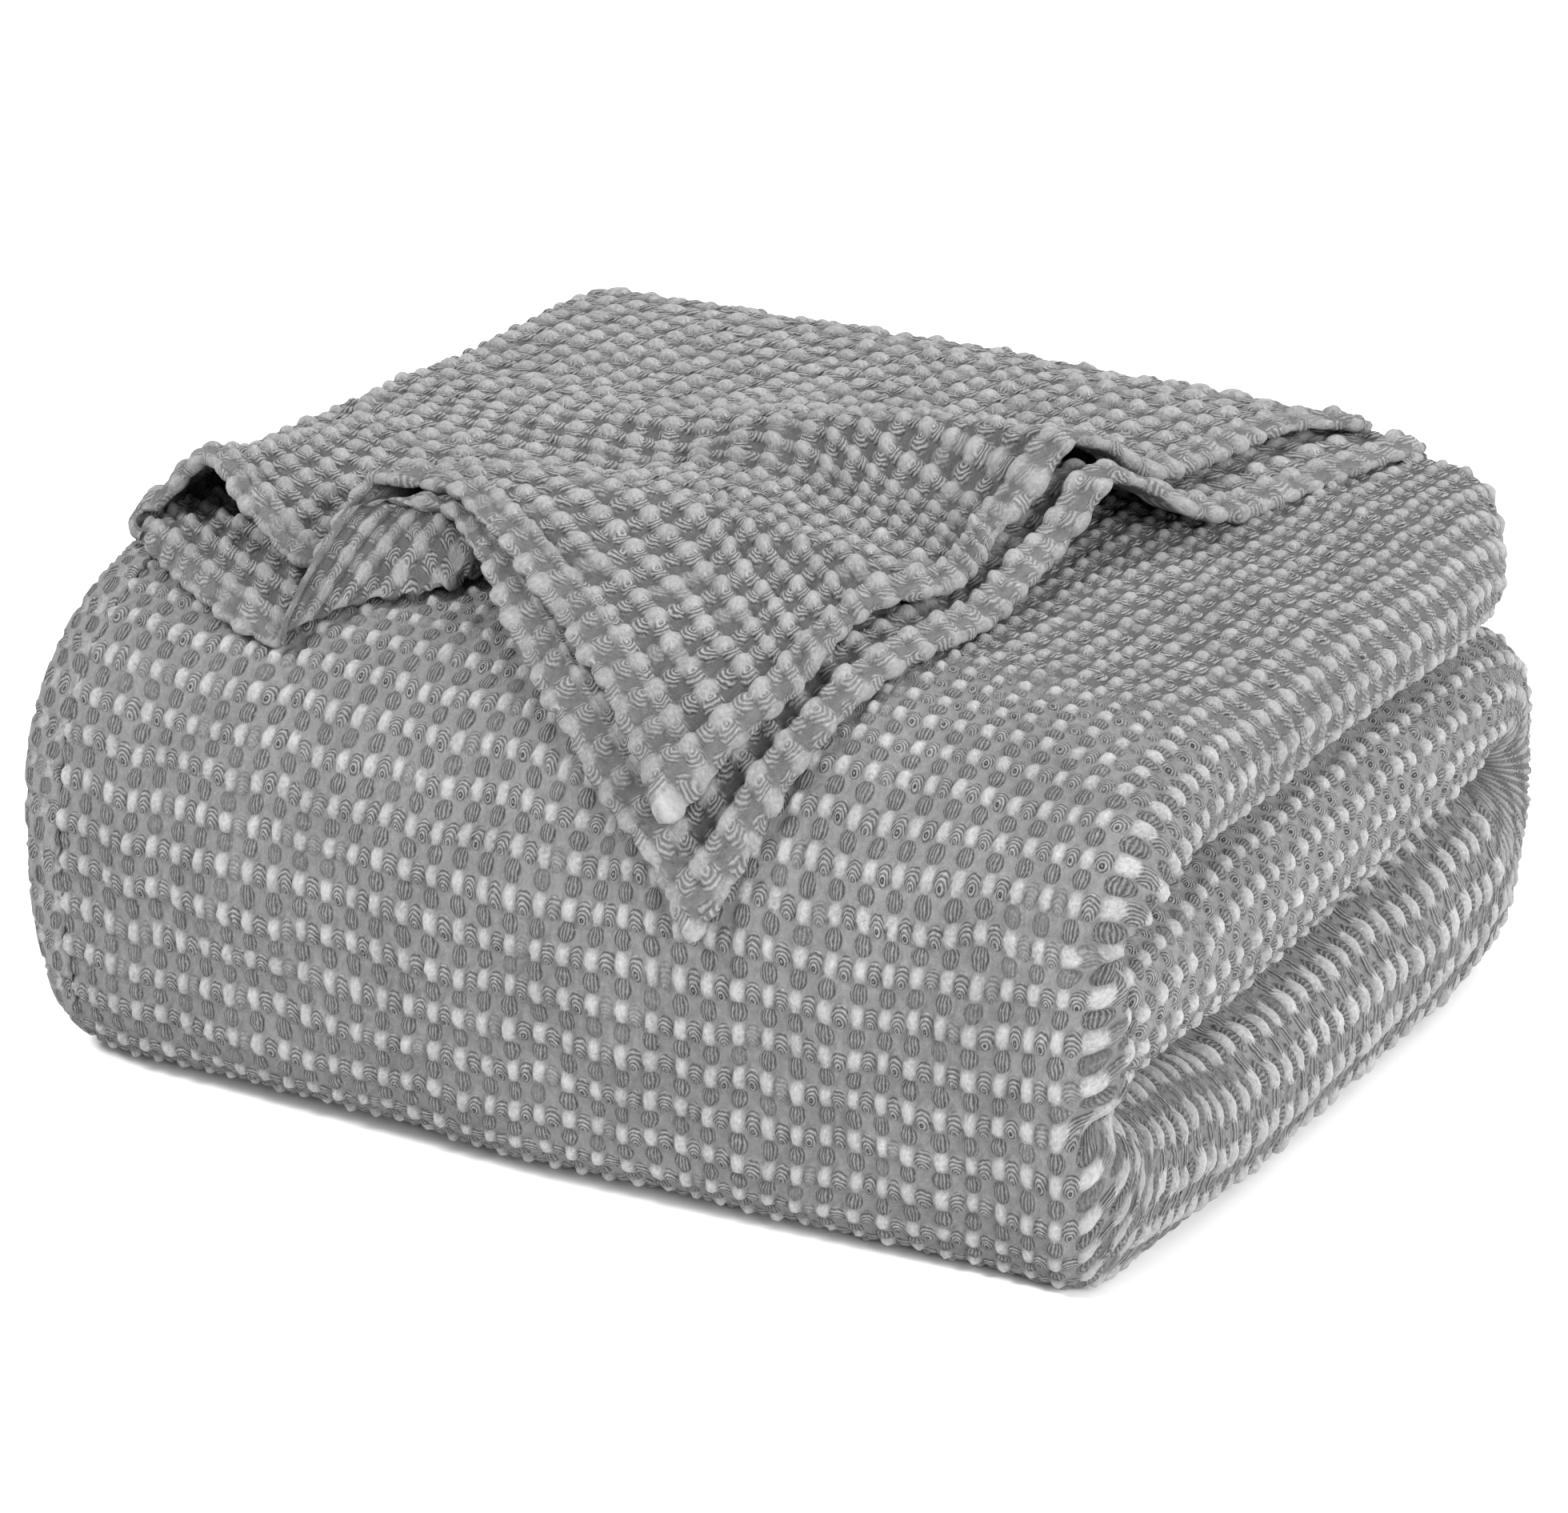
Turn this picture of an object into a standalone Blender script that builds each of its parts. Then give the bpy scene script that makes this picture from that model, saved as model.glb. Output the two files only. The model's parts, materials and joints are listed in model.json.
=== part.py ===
"""Folded waffle weave blanket: one cotton cloth, folded three times lengthwise
into a strip of eight plies, the strip folded in thirds like a letter, and the
last two plies drawn out, turned over the back and laid over the top.
Lengths below are in millimetres: +X right end, -Y front, +Z up."""
import math

import bmesh
import bpy
from mathutils import Matrix
from mathutils.bvhtree import BVHTree

MM = 0.001
PLIES = 8                 # plies in the strip
CLOTH_SHARE = 0.56        # cloth thickness as a share of the ply pitch
LEFT_X = -197.0
RIGHT_X = 206.0
FRONT_FOLD_Y = -95.0      # where the flat top and floor start to turn down
BACK_FOLD_Y = 112.0
BACK_Y = 178.0
TOP_END_Y = 168.0
INNER_END_Y = -154.0      # free end of the tucked-in third
TOP_Z = 171.0
CENTRE_X = 9.5            # middle of the footprint, which ends up at the origin
CENTRE_Y = -9.3
STRIP_GAP = 1.6
HEM_THICK = 4.8           # double-turned hem of the laid-over plies
FIELD_SHARE = 0.62        # their plain cloth as a share of the hem
FOLD_SHARE = 0.5          # pressed thinner where the hem folds sharply
PINCH_SHARE = 0.28
TAIL_SHARE = 0.45
PLY_REST = 6.0            # least height of the upper ply over the lower
HEM_REST = 7.0

# right side fold of the strip: how the plies lie from the inside out
RIBBON_ORDER = (0, 7, 4, 3, 2, 5, 6, 1)

# how far the front bulges along its width, and how thick the strip is
# where it is squeezed round the front
FRONT_BULGE = [
    {"x": -205, "front_y": -193, "corner": 20, "wrap": 36},
    {"x": -150, "front_y": -199, "corner": 22, "wrap": 40},
    {"x": -40, "front_y": -199, "corner": 22, "wrap": 40},
    {"x": 80, "front_y": -192, "corner": 18, "wrap": 34},
    {"x": 160, "front_y": -183, "corner": 10, "wrap": 25},
    {"x": 210, "front_y": -176, "corner": 6, "wrap": 18},
]
# heights of the two creases between the thirds, from front to back
CREASES = [
    {"y": -160, "low": 58.0, "high": 112.0},
    {"y": -90, "low": 60.0, "high": 122.0},
    {"y": 10, "low": 66.0, "high": 128.0},
    {"y": 90, "low": 75.0, "high": 127.0},
    {"y": 150, "low": 84.0, "high": 122.0},
]
# how far right the three rounded edges reach, from front to back
LOBES = [
    {"y": -180, "low": 206, "mid": 203, "top": 203},
    {"y": -150, "low": 210, "mid": 207, "top": 207},
    {"y": -60, "low": 216, "mid": 212, "top": 212},
    {"y": 50, "low": 216, "mid": 213, "top": 212},
    {"y": 110, "low": 213, "mid": 211, "top": 206},
    {"y": 150, "low": 205, "mid": 203, "top": 191},
    {"y": 180, "low": 190, "mid": 188, "top": 176},
]
# gentle swell of the top surface
TOP_SWELL = [
    {"x": -205, "rise": -1.5},
    {"x": -120, "rise": 0.5},
    {"x": 0, "rise": 2.0},
    {"x": 120, "rise": 0.5},
    {"x": 210, "rise": -3.5},
]
FRONT_LEVELS = (0.0, 4.0, 13.0, 32.0, 50.0, 58.0, 67.0, 85.0, 103.0, 112.0,
                122.0, 139.0, 154.0, 165.0)

# the laid-over plies: guide lines from the loose edge back to the fold.
# run: distance forward from the back over the top and down the front
LOWER_LEFT = [
    {"t": 0.0, "x": -188, "run": 304, "lift": 3.6},
    {"t": 0.5, "x": -195, "run": 150, "lift": 3.4},
    {"t": 1.0, "x": -197, "run": 0, "lift": 3.0},
]
LOWER_TROUGH = [
    {"t": 0.0, "x": -107, "run": 336, "lift": 3.6},
    {"t": 0.09, "x": -87, "run": 314, "lift": 3.2},
    {"t": 0.17, "x": -62, "run": 296, "lift": 3.0},
    {"t": 0.3, "x": -58, "run": 252, "lift": 3.0},
    {"t": 0.5, "x": -52, "run": 190, "lift": 3.0},
    {"t": 1.0, "x": -70, "run": 0, "lift": 3.0},
]
LOWER_RIDGE = [
    {"t": 0.0, "x": -99, "run": 292, "lift": 23.5},
    {"t": 0.09, "x": -77, "run": 277, "lift": 21.0},
    {"t": 0.17, "x": -58, "run": 268, "lift": 17.0},
    {"t": 0.3, "x": -36, "run": 240, "lift": 9.0},
    {"t": 0.5, "x": -20, "run": 184, "lift": 3.0},
    {"t": 1.0, "x": -40, "run": 0, "lift": 3.0},
]
LOWER_RIGHT = [
    {"t": 0.0, "x": 71, "run": 392, "lift": 3.6},
    {"t": 0.04, "x": 80, "run": 377, "lift": 3.6},
    {"t": 0.16, "x": 95, "run": 330, "lift": 4.6},
    {"t": 0.25, "x": 102, "run": 292, "lift": 4.8},
    {"t": 0.36, "x": 109, "run": 250, "lift": 5.0},
    {"t": 0.5, "x": 104, "run": 192, "lift": 11.0},
    {"t": 0.57, "x": 106, "run": 166, "lift": 15.0},
    {"t": 0.63, "x": 114, "run": 146, "lift": 10.0},
    {"t": 0.67, "x": 126, "run": 130, "lift": 3.6},
    {"t": 0.85, "x": 137, "run": 62, "lift": 3.6},
    {"t": 1.0, "x": 149, "run": 0, "lift": 3.0},
]
UPPER_LEFT = [
    {"t": 0.0, "x": -189, "run": 292, "lift": 9.6},
    {"t": 0.5, "x": -194, "run": 148, "lift": 8.6},
    {"t": 1.0, "x": -196, "run": 0, "lift": 8.0},
]
UPPER_TROUGH = [
    {"t": 0.0, "x": -112, "run": 309, "lift": 9.8},
    {"t": 0.09, "x": -104, "run": 284, "lift": 9.4},
    {"t": 0.25, "x": -80, "run": 225, "lift": 8.6},
    {"t": 0.5, "x": -60, "run": 150, "lift": 8.2},
    {"t": 1.0, "x": -70, "run": 0, "lift": 8.0},
]
UPPER_RIDGE = [
    {"t": 0.0, "x": -101, "run": 283, "lift": 29.5},
    {"t": 0.09, "x": -88, "run": 259, "lift": 27.0},
    {"t": 0.25, "x": -52, "run": 205, "lift": 14.0},
    {"t": 0.5, "x": -30, "run": 142, "lift": 8.2},
    {"t": 1.0, "x": -40, "run": 0, "lift": 8.0},
]
UPPER_RIGHT = [
    {"t": 0.0, "x": 59, "run": 360, "lift": 9.6},
    {"t": 0.04, "x": 68, "run": 348, "lift": 9.6},
    {"t": 0.16, "x": 83, "run": 310, "lift": 9.8},
    {"t": 0.25, "x": 81, "run": 278, "lift": 10.0},
    {"t": 0.36, "x": 94, "run": 238, "lift": 12.0},
    {"t": 0.5, "x": 85, "run": 190, "lift": 18.5},
    {"t": 0.57, "x": 88, "run": 160, "lift": 23.0},
    {"t": 0.63, "x": 97, "run": 140, "lift": 19.0},
    {"t": 0.7, "x": 101, "run": 112, "lift": 10.5},
    {"t": 0.85, "x": 106, "run": 60, "lift": 11.0},
    {"t": 0.94, "x": 112, "run": 25, "lift": 10.0},
    {"t": 1.0, "x": 128, "run": 7, "lift": 7.6},
]
# bow of the loose left edge away from straight lines between the guides
LOWER_EDGE = [
    {"at": 0.0, "run": 0, "lift": 0.0},
    {"at": 0.18, "run": 3, "lift": 1.0},
    {"at": 0.42, "run": 2, "lift": 0.0},
    {"at": 0.6, "run": 0, "lift": 0.0},
    {"at": 0.72, "run": -22, "lift": 2.0},
    {"at": 0.86, "run": -12, "lift": -4.0},
    {"at": 1.0, "run": 0, "lift": 0.0},
]
UPPER_EDGE = [
    {"at": 0.0, "run": 0, "lift": 0.0},
    {"at": 0.1, "run": -12, "lift": 17.0},
    {"at": 0.24, "run": -4, "lift": 11.0},
    {"at": 0.4, "run": 0, "lift": 0.0},
    {"at": 0.6, "run": 0, "lift": 0.0},
    {"at": 0.72, "run": -14, "lift": 0.0},
    {"at": 0.86, "run": -12, "lift": -5.0},
    {"at": 1.0, "run": 0, "lift": 0.0},
]
CROSS_STEPS = (0.0, 0.1, 0.17, 0.25, 0.34, 0.42, 0.46, 0.5, 0.54, 0.6, 0.66,
               0.74, 0.82, 0.9, 0.96, 1.0)
BACK_STEPS = (0.0, 0.04, 0.09, 0.16, 0.25, 0.36, 0.44, 0.5, 0.57, 0.63, 0.67,
              0.76, 0.85, 0.94, 1.0)


def ease(rows, key, column, at):
    """Smooth reading of one column of a short table."""
    if at <= rows[0][key]:
        return rows[0][column]
    for low, high in zip(rows, rows[1:]):
        if at <= high[key]:
            share = (at - low[key]) / (high[key] - low[key])
            share = share * share * (3.0 - 2.0 * share)
            return low[column] + share * (high[column] - low[column])
    return rows[-1][column]


def clamp(value, low=0.0, high=1.0):
    return max(low, min(high, value))


def shoulder(share, power):
    return (1.0 - clamp(share) ** power) ** (1.0 / power)


def outer_front(x, level):
    """Front face at one height: a low corner, a flat, a round shoulder."""
    front = ease(FRONT_BULGE, "x", "front_y", x)
    corner = ease(FRONT_BULGE, "x", "corner", x)
    if level > 70.0:
        share = (level - 70.0) / (TOP_Z - 70.0)
        return FRONT_FOLD_Y - (FRONT_FOLD_Y - front) * shoulder(share, 2.5)
    slack = 4.0 * ((70.0 - level) / 70.0) ** 2
    if level > corner:
        return front + slack
    return front + slack + corner * (1.0 - shoulder(1.0 - level / corner, 2.0))


def inner_front(x, level):
    front = ease(FRONT_BULGE, "x", "front_y", x)
    front += ease(FRONT_BULGE, "x", "wrap", x)
    low = ease(CREASES, "y", "low", -160) - 0.8
    high = ease(CREASES, "y", "high", -160) + 2.4
    half = (high - low) / 2.0
    share = abs(level - low - half) / half
    return FRONT_FOLD_Y - (FRONT_FOLD_Y - front) * shoulder(share, 9.0)


def swell(x, y):
    fade = clamp((y + 190.0) / 120.0)
    return ease(TOP_SWELL, "x", "rise", x) * fade


def left_lean(x, z):
    """The left side leans in towards the floor and towards the top."""
    weight = clamp((-150.0 - x) / 50.0)
    return weight * (9.0 * clamp((55.0 - z) / 55.0) ** 1.5
                     + 3.0 * clamp((z - 110.0) / 60.0))


def station_middle(y):
    def place(x):
        low = ease(CREASES, "y", "low", y) + STRIP_GAP / 2
        high = ease(CREASES, "y", "high", y)
        tuck = 2.5 if y == INNER_END_Y else 0.0
        return (y, high - tuck), (y, low + tuck)
    return place


def station_back(turn):
    """One step of the turn round the back, 0 at the middle, 1 at the floor."""
    def place(x):
        high = ease(CREASES, "y", "high", BACK_FOLD_Y)
        low = ease(CREASES, "y", "low", BACK_FOLD_Y)
        angle = math.pi * turn
        side = abs(math.sin(angle)) ** 0.8
        rise = math.copysign(abs(math.cos(angle)) ** 0.8, math.cos(angle))
        out_y = BACK_FOLD_Y + (BACK_Y - BACK_FOLD_Y) * side
        out_z = high / 2 + high / 2 * rise
        in_y = BACK_FOLD_Y + 5.0 * math.sin(angle)
        in_z = low + STRIP_GAP / 2 * math.cos(angle)
        return (out_y, out_z), (in_y, in_z)
    return place


def station_floor(y):
    def place(x):
        low = ease(CREASES, "y", "low", y) - STRIP_GAP / 2
        return (y, 0.0), (y, low)
    return place


def station_front(level):
    def place(x):
        low = ease(CREASES, "y", "low", -160) - 0.8
        high = ease(CREASES, "y", "high", -160) + 2.4
        inside = low + (high - low) * clamp(level / TOP_Z)
        outside = level + swell(x, outer_front(x, level)) * level / TOP_Z
        return (outer_front(x, level), outside), (inner_front(x, inside), inside)
    return place


def station_top(y):
    def place(x):
        high = ease(CREASES, "y", "high", y) + STRIP_GAP
        return (y, TOP_Z + swell(x, y)), (y, high)
    return place


def path_stations():
    steps = [station_middle(y) for y in (INNER_END_Y, -95.0, -20.0, 50.0)]
    steps += [station_back(turn / 8.0) for turn in range(9)]
    steps += [station_floor(y) for y in (50.0, -20.0)]
    steps += [station_floor(FRONT_FOLD_Y)]
    steps += [station_front(level) for level in FRONT_LEVELS]
    steps += [station_top(y) for y in (FRONT_FOLD_Y, -20.0, 50.0, 112.0, 142.0,
                                       TOP_END_Y)]
    return steps


def turn_points(start, end, reach, power, count):
    """Round side fold between two plies: (reach, depth share) pairs."""
    middle = (start + end) / 2.0
    half = (end - start) / 2.0
    points = []
    for step in range(1, count):
        angle = math.pi * step / count
        out = abs(math.sin(angle)) ** (2.0 / power)
        along = math.copysign(abs(math.cos(angle)) ** (2.0 / power),
                              math.cos(angle))
        points.append((reach * out, middle - half * along))
    return points


def ribbon_centre():
    """Back-and-forth centre line of the plies: (x, depth share, side)."""
    depth = [1.0 - (place + 0.5) / PLIES for place in range(PLIES)]
    shape = {7: (36.0, 8), 6: (27.0, 6), 5: (16.0, 4), 4: (6.0, 3)}
    shape.update({3: (18.0, 6), 2: (3.5, 3), 1: (5.0, 3)})
    line = [(LEFT_X + 8.0, depth[RIBBON_ORDER[0]])]
    for number, place in enumerate(RIBBON_ORDER):
        here = depth[place]
        inner = (-80.0, 70.0)
        if place == 7:
            inner = (-130.0, -60.0, 10.0, 80.0, 140.0)
        goes_right = number % 2 == 0
        line += [(x, here) for x in (inner if goes_right else inner[::-1])]
        if number + 1 == PLIES:
            line.append((LEFT_X + 8.0, here))
            break
        after = depth[RIBBON_ORDER[number + 1]]
        span = abs(RIBBON_ORDER[number + 1] - place)
        if goes_right:
            reach, count = shape[{7: 7, 5: 6, 3: 5, 1: 4}[span]]
            start = RIGHT_X - 36.0
        else:
            reach, count = shape[{3: 3, 1: 2}[span]]
            start = LEFT_X + 18.0
        sign = 1.0 if goes_right else -1.0
        line.append((start, here))
        for out, share in turn_points(here, after, reach, 2.3, count):
            line.append((start + sign * out, share))
        line.append((start, after))
    return line


def ribbon_outline():
    """Closed outline of the folded ribbon, one side then the other."""
    centre = ribbon_centre()
    pitch = 57.0 / PLIES
    half = CLOTH_SHARE / PLIES / 2.0
    margin = 0.5 / PLIES - half
    sides = ([], [])
    for index, (x, share) in enumerate(centre):
        before = centre[max(index - 1, 0)]
        after = centre[min(index + 1, len(centre) - 1)]
        run = after[0] - before[0]
        climb = (after[1] - before[1]) * PLIES * pitch
        length = math.hypot(run, climb)
        across = (-climb / length, run / length)
        for side, sign in zip(sides, (1.0, -1.0)):
            level = share + sign * across[1] * half
            level = (level - margin) / (1.0 - 2.0 * margin)
            side.append((x + sign * across[0] * half * PLIES * pitch, level))
    return sides[0] + sides[1][::-1]


def squared(x, share, kind):
    """The lower right edge is pressed squarer than the folds above it."""
    bend = RIGHT_X - 36.0
    if x <= bend or kind in ("top", "mid"):
        return x
    pressed = bend + 36.0 * ((x - bend) / 36.0) ** 0.33
    return x + (pressed - x) * clamp(1.0 - 2.0 * share)


def warp(x, share, place, kind):
    """Move one outline point onto the folded path."""
    x = squared(x, share, kind)
    outer, inner = place(x)
    y = outer[0] + (inner[0] - outer[0]) * share
    z = outer[1] + (inner[1] - outer[1]) * share
    if kind == "front":
        reach = ease(LOBES, "y", "low", y) - RIGHT_X
        back = clamp((y + 185.0) / 60.0)
        groove = sum(8.0 * math.exp(-((z - crease) / 7.0) ** 2)
                     for crease in (58.0, 112.0))
        shift = reach - groove * (1.0 - 0.3 * back)
    else:
        shift = ease(LOBES, "y", kind, y) - RIGHT_X
    weight = clamp((x - 100.0) / (RIGHT_X - 100.0)) ** 2
    return x + shift * weight + left_lean(x, z), y, z


def build_strip():
    """Loft the folded ribbon along the letter-fold path."""
    outline = ribbon_outline()
    stations = path_stations()
    kinds = ["mid"] * 8 + ["low"] * 8
    kinds += ["front"] * len(FRONT_LEVELS) + ["top"] * 6
    shell = bmesh.new()
    rings = []
    for place, kind in zip(stations, kinds):
        ring = []
        for x, share in outline:
            spot = warp(x, share, place, kind)
            ring.append(shell.verts.new([value * MM for value in spot]))
        rings.append(ring)
    count = len(outline)
    for first, second in zip(rings, rings[1:]):
        for index in range(count):
            after = (index + 1) % count
            shell.faces.new((first[index], first[after],
                             second[after], second[index]))
    for ring in (rings[0], rings[-1]):
        for index in range(count // 2 - 1):
            shell.faces.new((ring[index], ring[index + 1],
                             ring[-2 - index], ring[-1 - index]))
    bmesh.ops.recalc_face_normals(shell, faces=shell.faces)
    return shell


def cotton():
    """Light grey washed cotton."""
    material = bpy.data.materials.new("grey_cotton")
    material.use_nodes = True
    surface = material.node_tree.nodes["Principled BSDF"]
    surface.inputs["Base Color"].default_value = (0.40, 0.40, 0.40, 1.0)
    surface.inputs["Roughness"].default_value = 0.95
    surface.inputs["Metallic"].default_value = 0.0
    return material


def apply_all(item):
    bpy.context.view_layer.objects.active = item
    for modifier in list(item.modifiers):
        bpy.ops.object.modifier_apply(modifier=modifier.name)


def fuse(body, sheet):
    """Grow a laid-over ply into the strip it is drawn out of."""
    joint = body.modifiers.new("join_" + sheet.name, "BOOLEAN")
    joint.operation = "UNION"
    joint.solver = "EXACT"
    joint.object = sheet
    apply_all(body)


def mesh_object(name, shell, collection):
    mesh = bpy.data.meshes.new(name)
    shell.to_mesh(mesh)
    shell.free()
    item = bpy.data.objects.new(name, mesh)
    collection.objects.link(item)
    return item


def drape(x, run, lift):
    """Point on the folded strip a given run forward of the back, lifted."""
    spots = [(170.0 - step * 5.0, None) for step in range(54)]
    path = [(y, TOP_Z + swell(x, y)) for y, _ in spots]
    for step in range(1, 61):
        level = TOP_Z * (1.0 - (step / 60.0) ** 2 * 0.9)
        y = outer_front(x, level)
        path.append((y, level + swell(x, y) * level / TOP_Z))
    gone = 0.0
    for here, after in zip(path, path[1:]):
        length = math.hypot(after[0] - here[0], after[1] - here[1])
        if gone + length >= run and length > 0.0:
            break
        gone += length
    share = (run - gone) / length
    along = ((after[0] - here[0]) / length, (after[1] - here[1]) / length)
    y = here[0] + share * (after[0] - here[0]) + along[1] * lift
    z = here[1] + share * (after[1] - here[1]) - along[0] * lift
    return x, y, z


def soft_ridges(x, run):
    """Two long soft ridges that cross the laid-over plies."""
    near = 246.0 + 0.0016 * (x - 10.0) ** 2
    far = 143.0 + 0.0011 * (x - 10.0) ** 2
    near_height = 7.0 * clamp((x + 90.0) / 60.0) * clamp((110.0 - x) / 70.0)
    far_height = 7.0 * clamp((x + 150.0) / 220.0)
    lift = near_height * math.exp(-((run - near) / 19.0) ** 2)
    return lift + far_height * math.exp(-((run - far) / 24.0) ** 2)


def guide(rows, t):
    return [ease(rows, "t", name, t) for name in ("x", "run", "lift")]


def sheet_point(guides, edge, across, t):
    """Across 0 is the left end, 0.42 the trough, 0.6 the ridge, 1 the hem."""
    left, trough, ridge, right = (guide(rows, t) for rows in guides)
    if across <= 0.42:
        start, end, share = left, trough, across / 0.42
    elif across <= 0.6:
        start, end, share = trough, ridge, (across - 0.42) / 0.18
    else:
        start, end, share = ridge, right, (across - 0.6) / 0.4
    blend = [a + (b - a) * share for a, b in zip(start, end)]
    fade = (1.0 - t) ** 3
    blend[1] += ease(edge, "at", "run", across) * fade
    blend[2] += ease(edge, "at", "lift", across) * fade
    blend[2] += soft_ridges(blend[0], blend[1]) * clamp(t / 0.2)
    return blend


def rest_tree(columns):
    """The lower ply laid flat as a surface the upper ply rests on."""
    wide = len(columns[0])
    spots = [spot for row in columns for spot in row]
    faces = []
    for row in range(len(columns) - 1):
        for column in range(wide - 1):
            corner = row * wide + column
            faces.append((corner, corner + 1, corner + wide + 1,
                          corner + wide))
    return BVHTree.FromPolygons(spots, faces)


def rested(spot, tree, least):
    """Raise a point of the upper ply clear of the lower one."""
    hit = tree.ray_cast((spot[0], spot[1], 90.0), (0.0, 0.0, -1.0))
    if hit[0] is None:
        return spot
    return [spot[0], spot[1], max(spot[2], hit[0].z + least)]


def back_turn(x, run, depth, lift, reach):
    """Points that turn down behind the back edge into the strip."""
    low = TOP_Z + swell(x, 168.0) - depth
    high = TOP_Z + swell(x, 168.0) + lift
    middle = (low + high) / 2.0
    radius = (high - low) / 2.0
    inside = max(x, LEFT_X + 24.0)
    points = []
    for angle in (50.0, 100.0, 145.0):
        bend = math.radians(angle)
        points.append((x + (inside - x) * angle / 180.0,
                       170.0 - run + reach * math.sin(bend),
                       middle + radius * math.cos(bend)))
    points.append((inside, 167.0, low))
    points.append((inside, 156.0, low))
    return points


def laid_columns(guides, edge, below=None):
    """The ply as rows of (x, run, lift), resting on the ply below it."""
    columns = [[sheet_point(guides, edge, across, t) for across in CROSS_STEPS]
               for t in BACK_STEPS]
    if below is None:
        return columns
    tree = rest_tree(below)
    last = len(CROSS_STEPS) - 1
    for number, row in enumerate(columns):
        for column, spot in enumerate(row):
            hem = number < 2 or column > last - 2
            row[column] = rested(spot, tree, HEM_REST if hem else PLY_REST)
    return columns


def cloth_share(row, column, rows):
    """Thickness of a laid-over ply at one grid point, as a share of its hem."""
    across = CROSS_STEPS[column]
    if row > rows - 3:
        return TAIL_SHARE
    if row < 2 and 0.4 < across < 0.62:
        return PINCH_SHARE
    if row < 3 and 0.3 < across < 0.7:
        return FOLD_SHARE
    if row < 2 or (across > 0.95 and row < len(BACK_STEPS)):
        return 1.0
    return FIELD_SHARE


def build_sheet(name, columns, depth, group):
    """One laid-over ply as a grid sheet with a thicker hem."""
    rows = [[drape(*spot) for spot in row] for row in columns]
    turns = [back_turn(x, run, depth, lift, (depth + lift) / 2.0)
             for x, run, lift in columns[-1]]
    rows += [list(row) for row in zip(*turns)]
    shell = bmesh.new()
    bmesh.ops.create_grid(shell, x_segments=len(CROSS_STEPS) - 1,
                          y_segments=len(rows) - 1, size=1.0)
    shell.verts.ensure_lookup_table()
    order = sorted(shell.verts, key=lambda v: (round(v.co.y, 4), v.co.x))
    wide = len(CROSS_STEPS)
    hems = []
    for index, vert in enumerate(order):
        row, column = divmod(index, wide)
        vert.co = [value * MM for value in rows[row][column]]
        hems.append(cloth_share(row, column, len(rows)))
    bmesh.ops.recalc_face_normals(shell, faces=shell.faces)
    shell.verts.index_update()
    weights = {vert.index: share for vert, share in zip(order, hems)}
    sheet = mesh_object(name, shell, group)
    grouped = sheet.vertex_groups.new(name="hem")
    for index, share in weights.items():
        grouped.add([index], share, "REPLACE")
    thick = sheet.modifiers.new("cloth", "SOLIDIFY")
    thick.thickness = HEM_THICK * MM
    thick.offset = 0.0
    thick.vertex_group = "hem"
    thick.thickness_vertex_group = 0.0
    return sheet


def new_collection(name):
    group = bpy.data.collections.new(name)
    bpy.context.scene.collection.children.link(group)
    return group


def main():
    for item in list(bpy.data.objects):
        bpy.data.objects.remove(item, do_unlink=True)
    group = new_collection("waffle_blanket")
    joined = new_collection("joined_parts")
    strip = mesh_object("blanket", build_strip(), group)
    under = laid_columns((LOWER_LEFT, LOWER_TROUGH, LOWER_RIDGE, LOWER_RIGHT),
                         LOWER_EDGE)
    over = laid_columns((UPPER_LEFT, UPPER_TROUGH, UPPER_RIDGE, UPPER_RIGHT),
                        UPPER_EDGE, under)
    lower = build_sheet("lower_ply", under, 3.0, joined)
    upper = build_sheet("upper_ply", over, 9.0, joined)
    for sheet in (lower, upper):
        apply_all(sheet)
        fuse(strip, sheet)
        bpy.data.objects.remove(sheet, do_unlink=True)
    strip.data.transform(Matrix.Translation((-CENTRE_X * MM, -CENTRE_Y * MM, 0.0)))
    strip.data.materials.append(cotton())


main()
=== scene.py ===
# %% [markdown]
# # A folded waffle weave blanket
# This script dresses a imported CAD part: a cotton blanket, folded into a strip of
# eight plies, the strip folded in thirds like a letter, with the last two plies
# laid over the top. The part gives the sizes; this file gives the cloth its
# waffle relief, its hems and its colour. Everything is in one frame: +X is the
# right end, -Y the front, +Z up. Shapes are worked out in millimetres.

# %% Load the frame
import json
import math
from types import SimpleNamespace

import bpy
import numpy as np
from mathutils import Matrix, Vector
from mathutils.bvhtree import BVHTree

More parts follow.
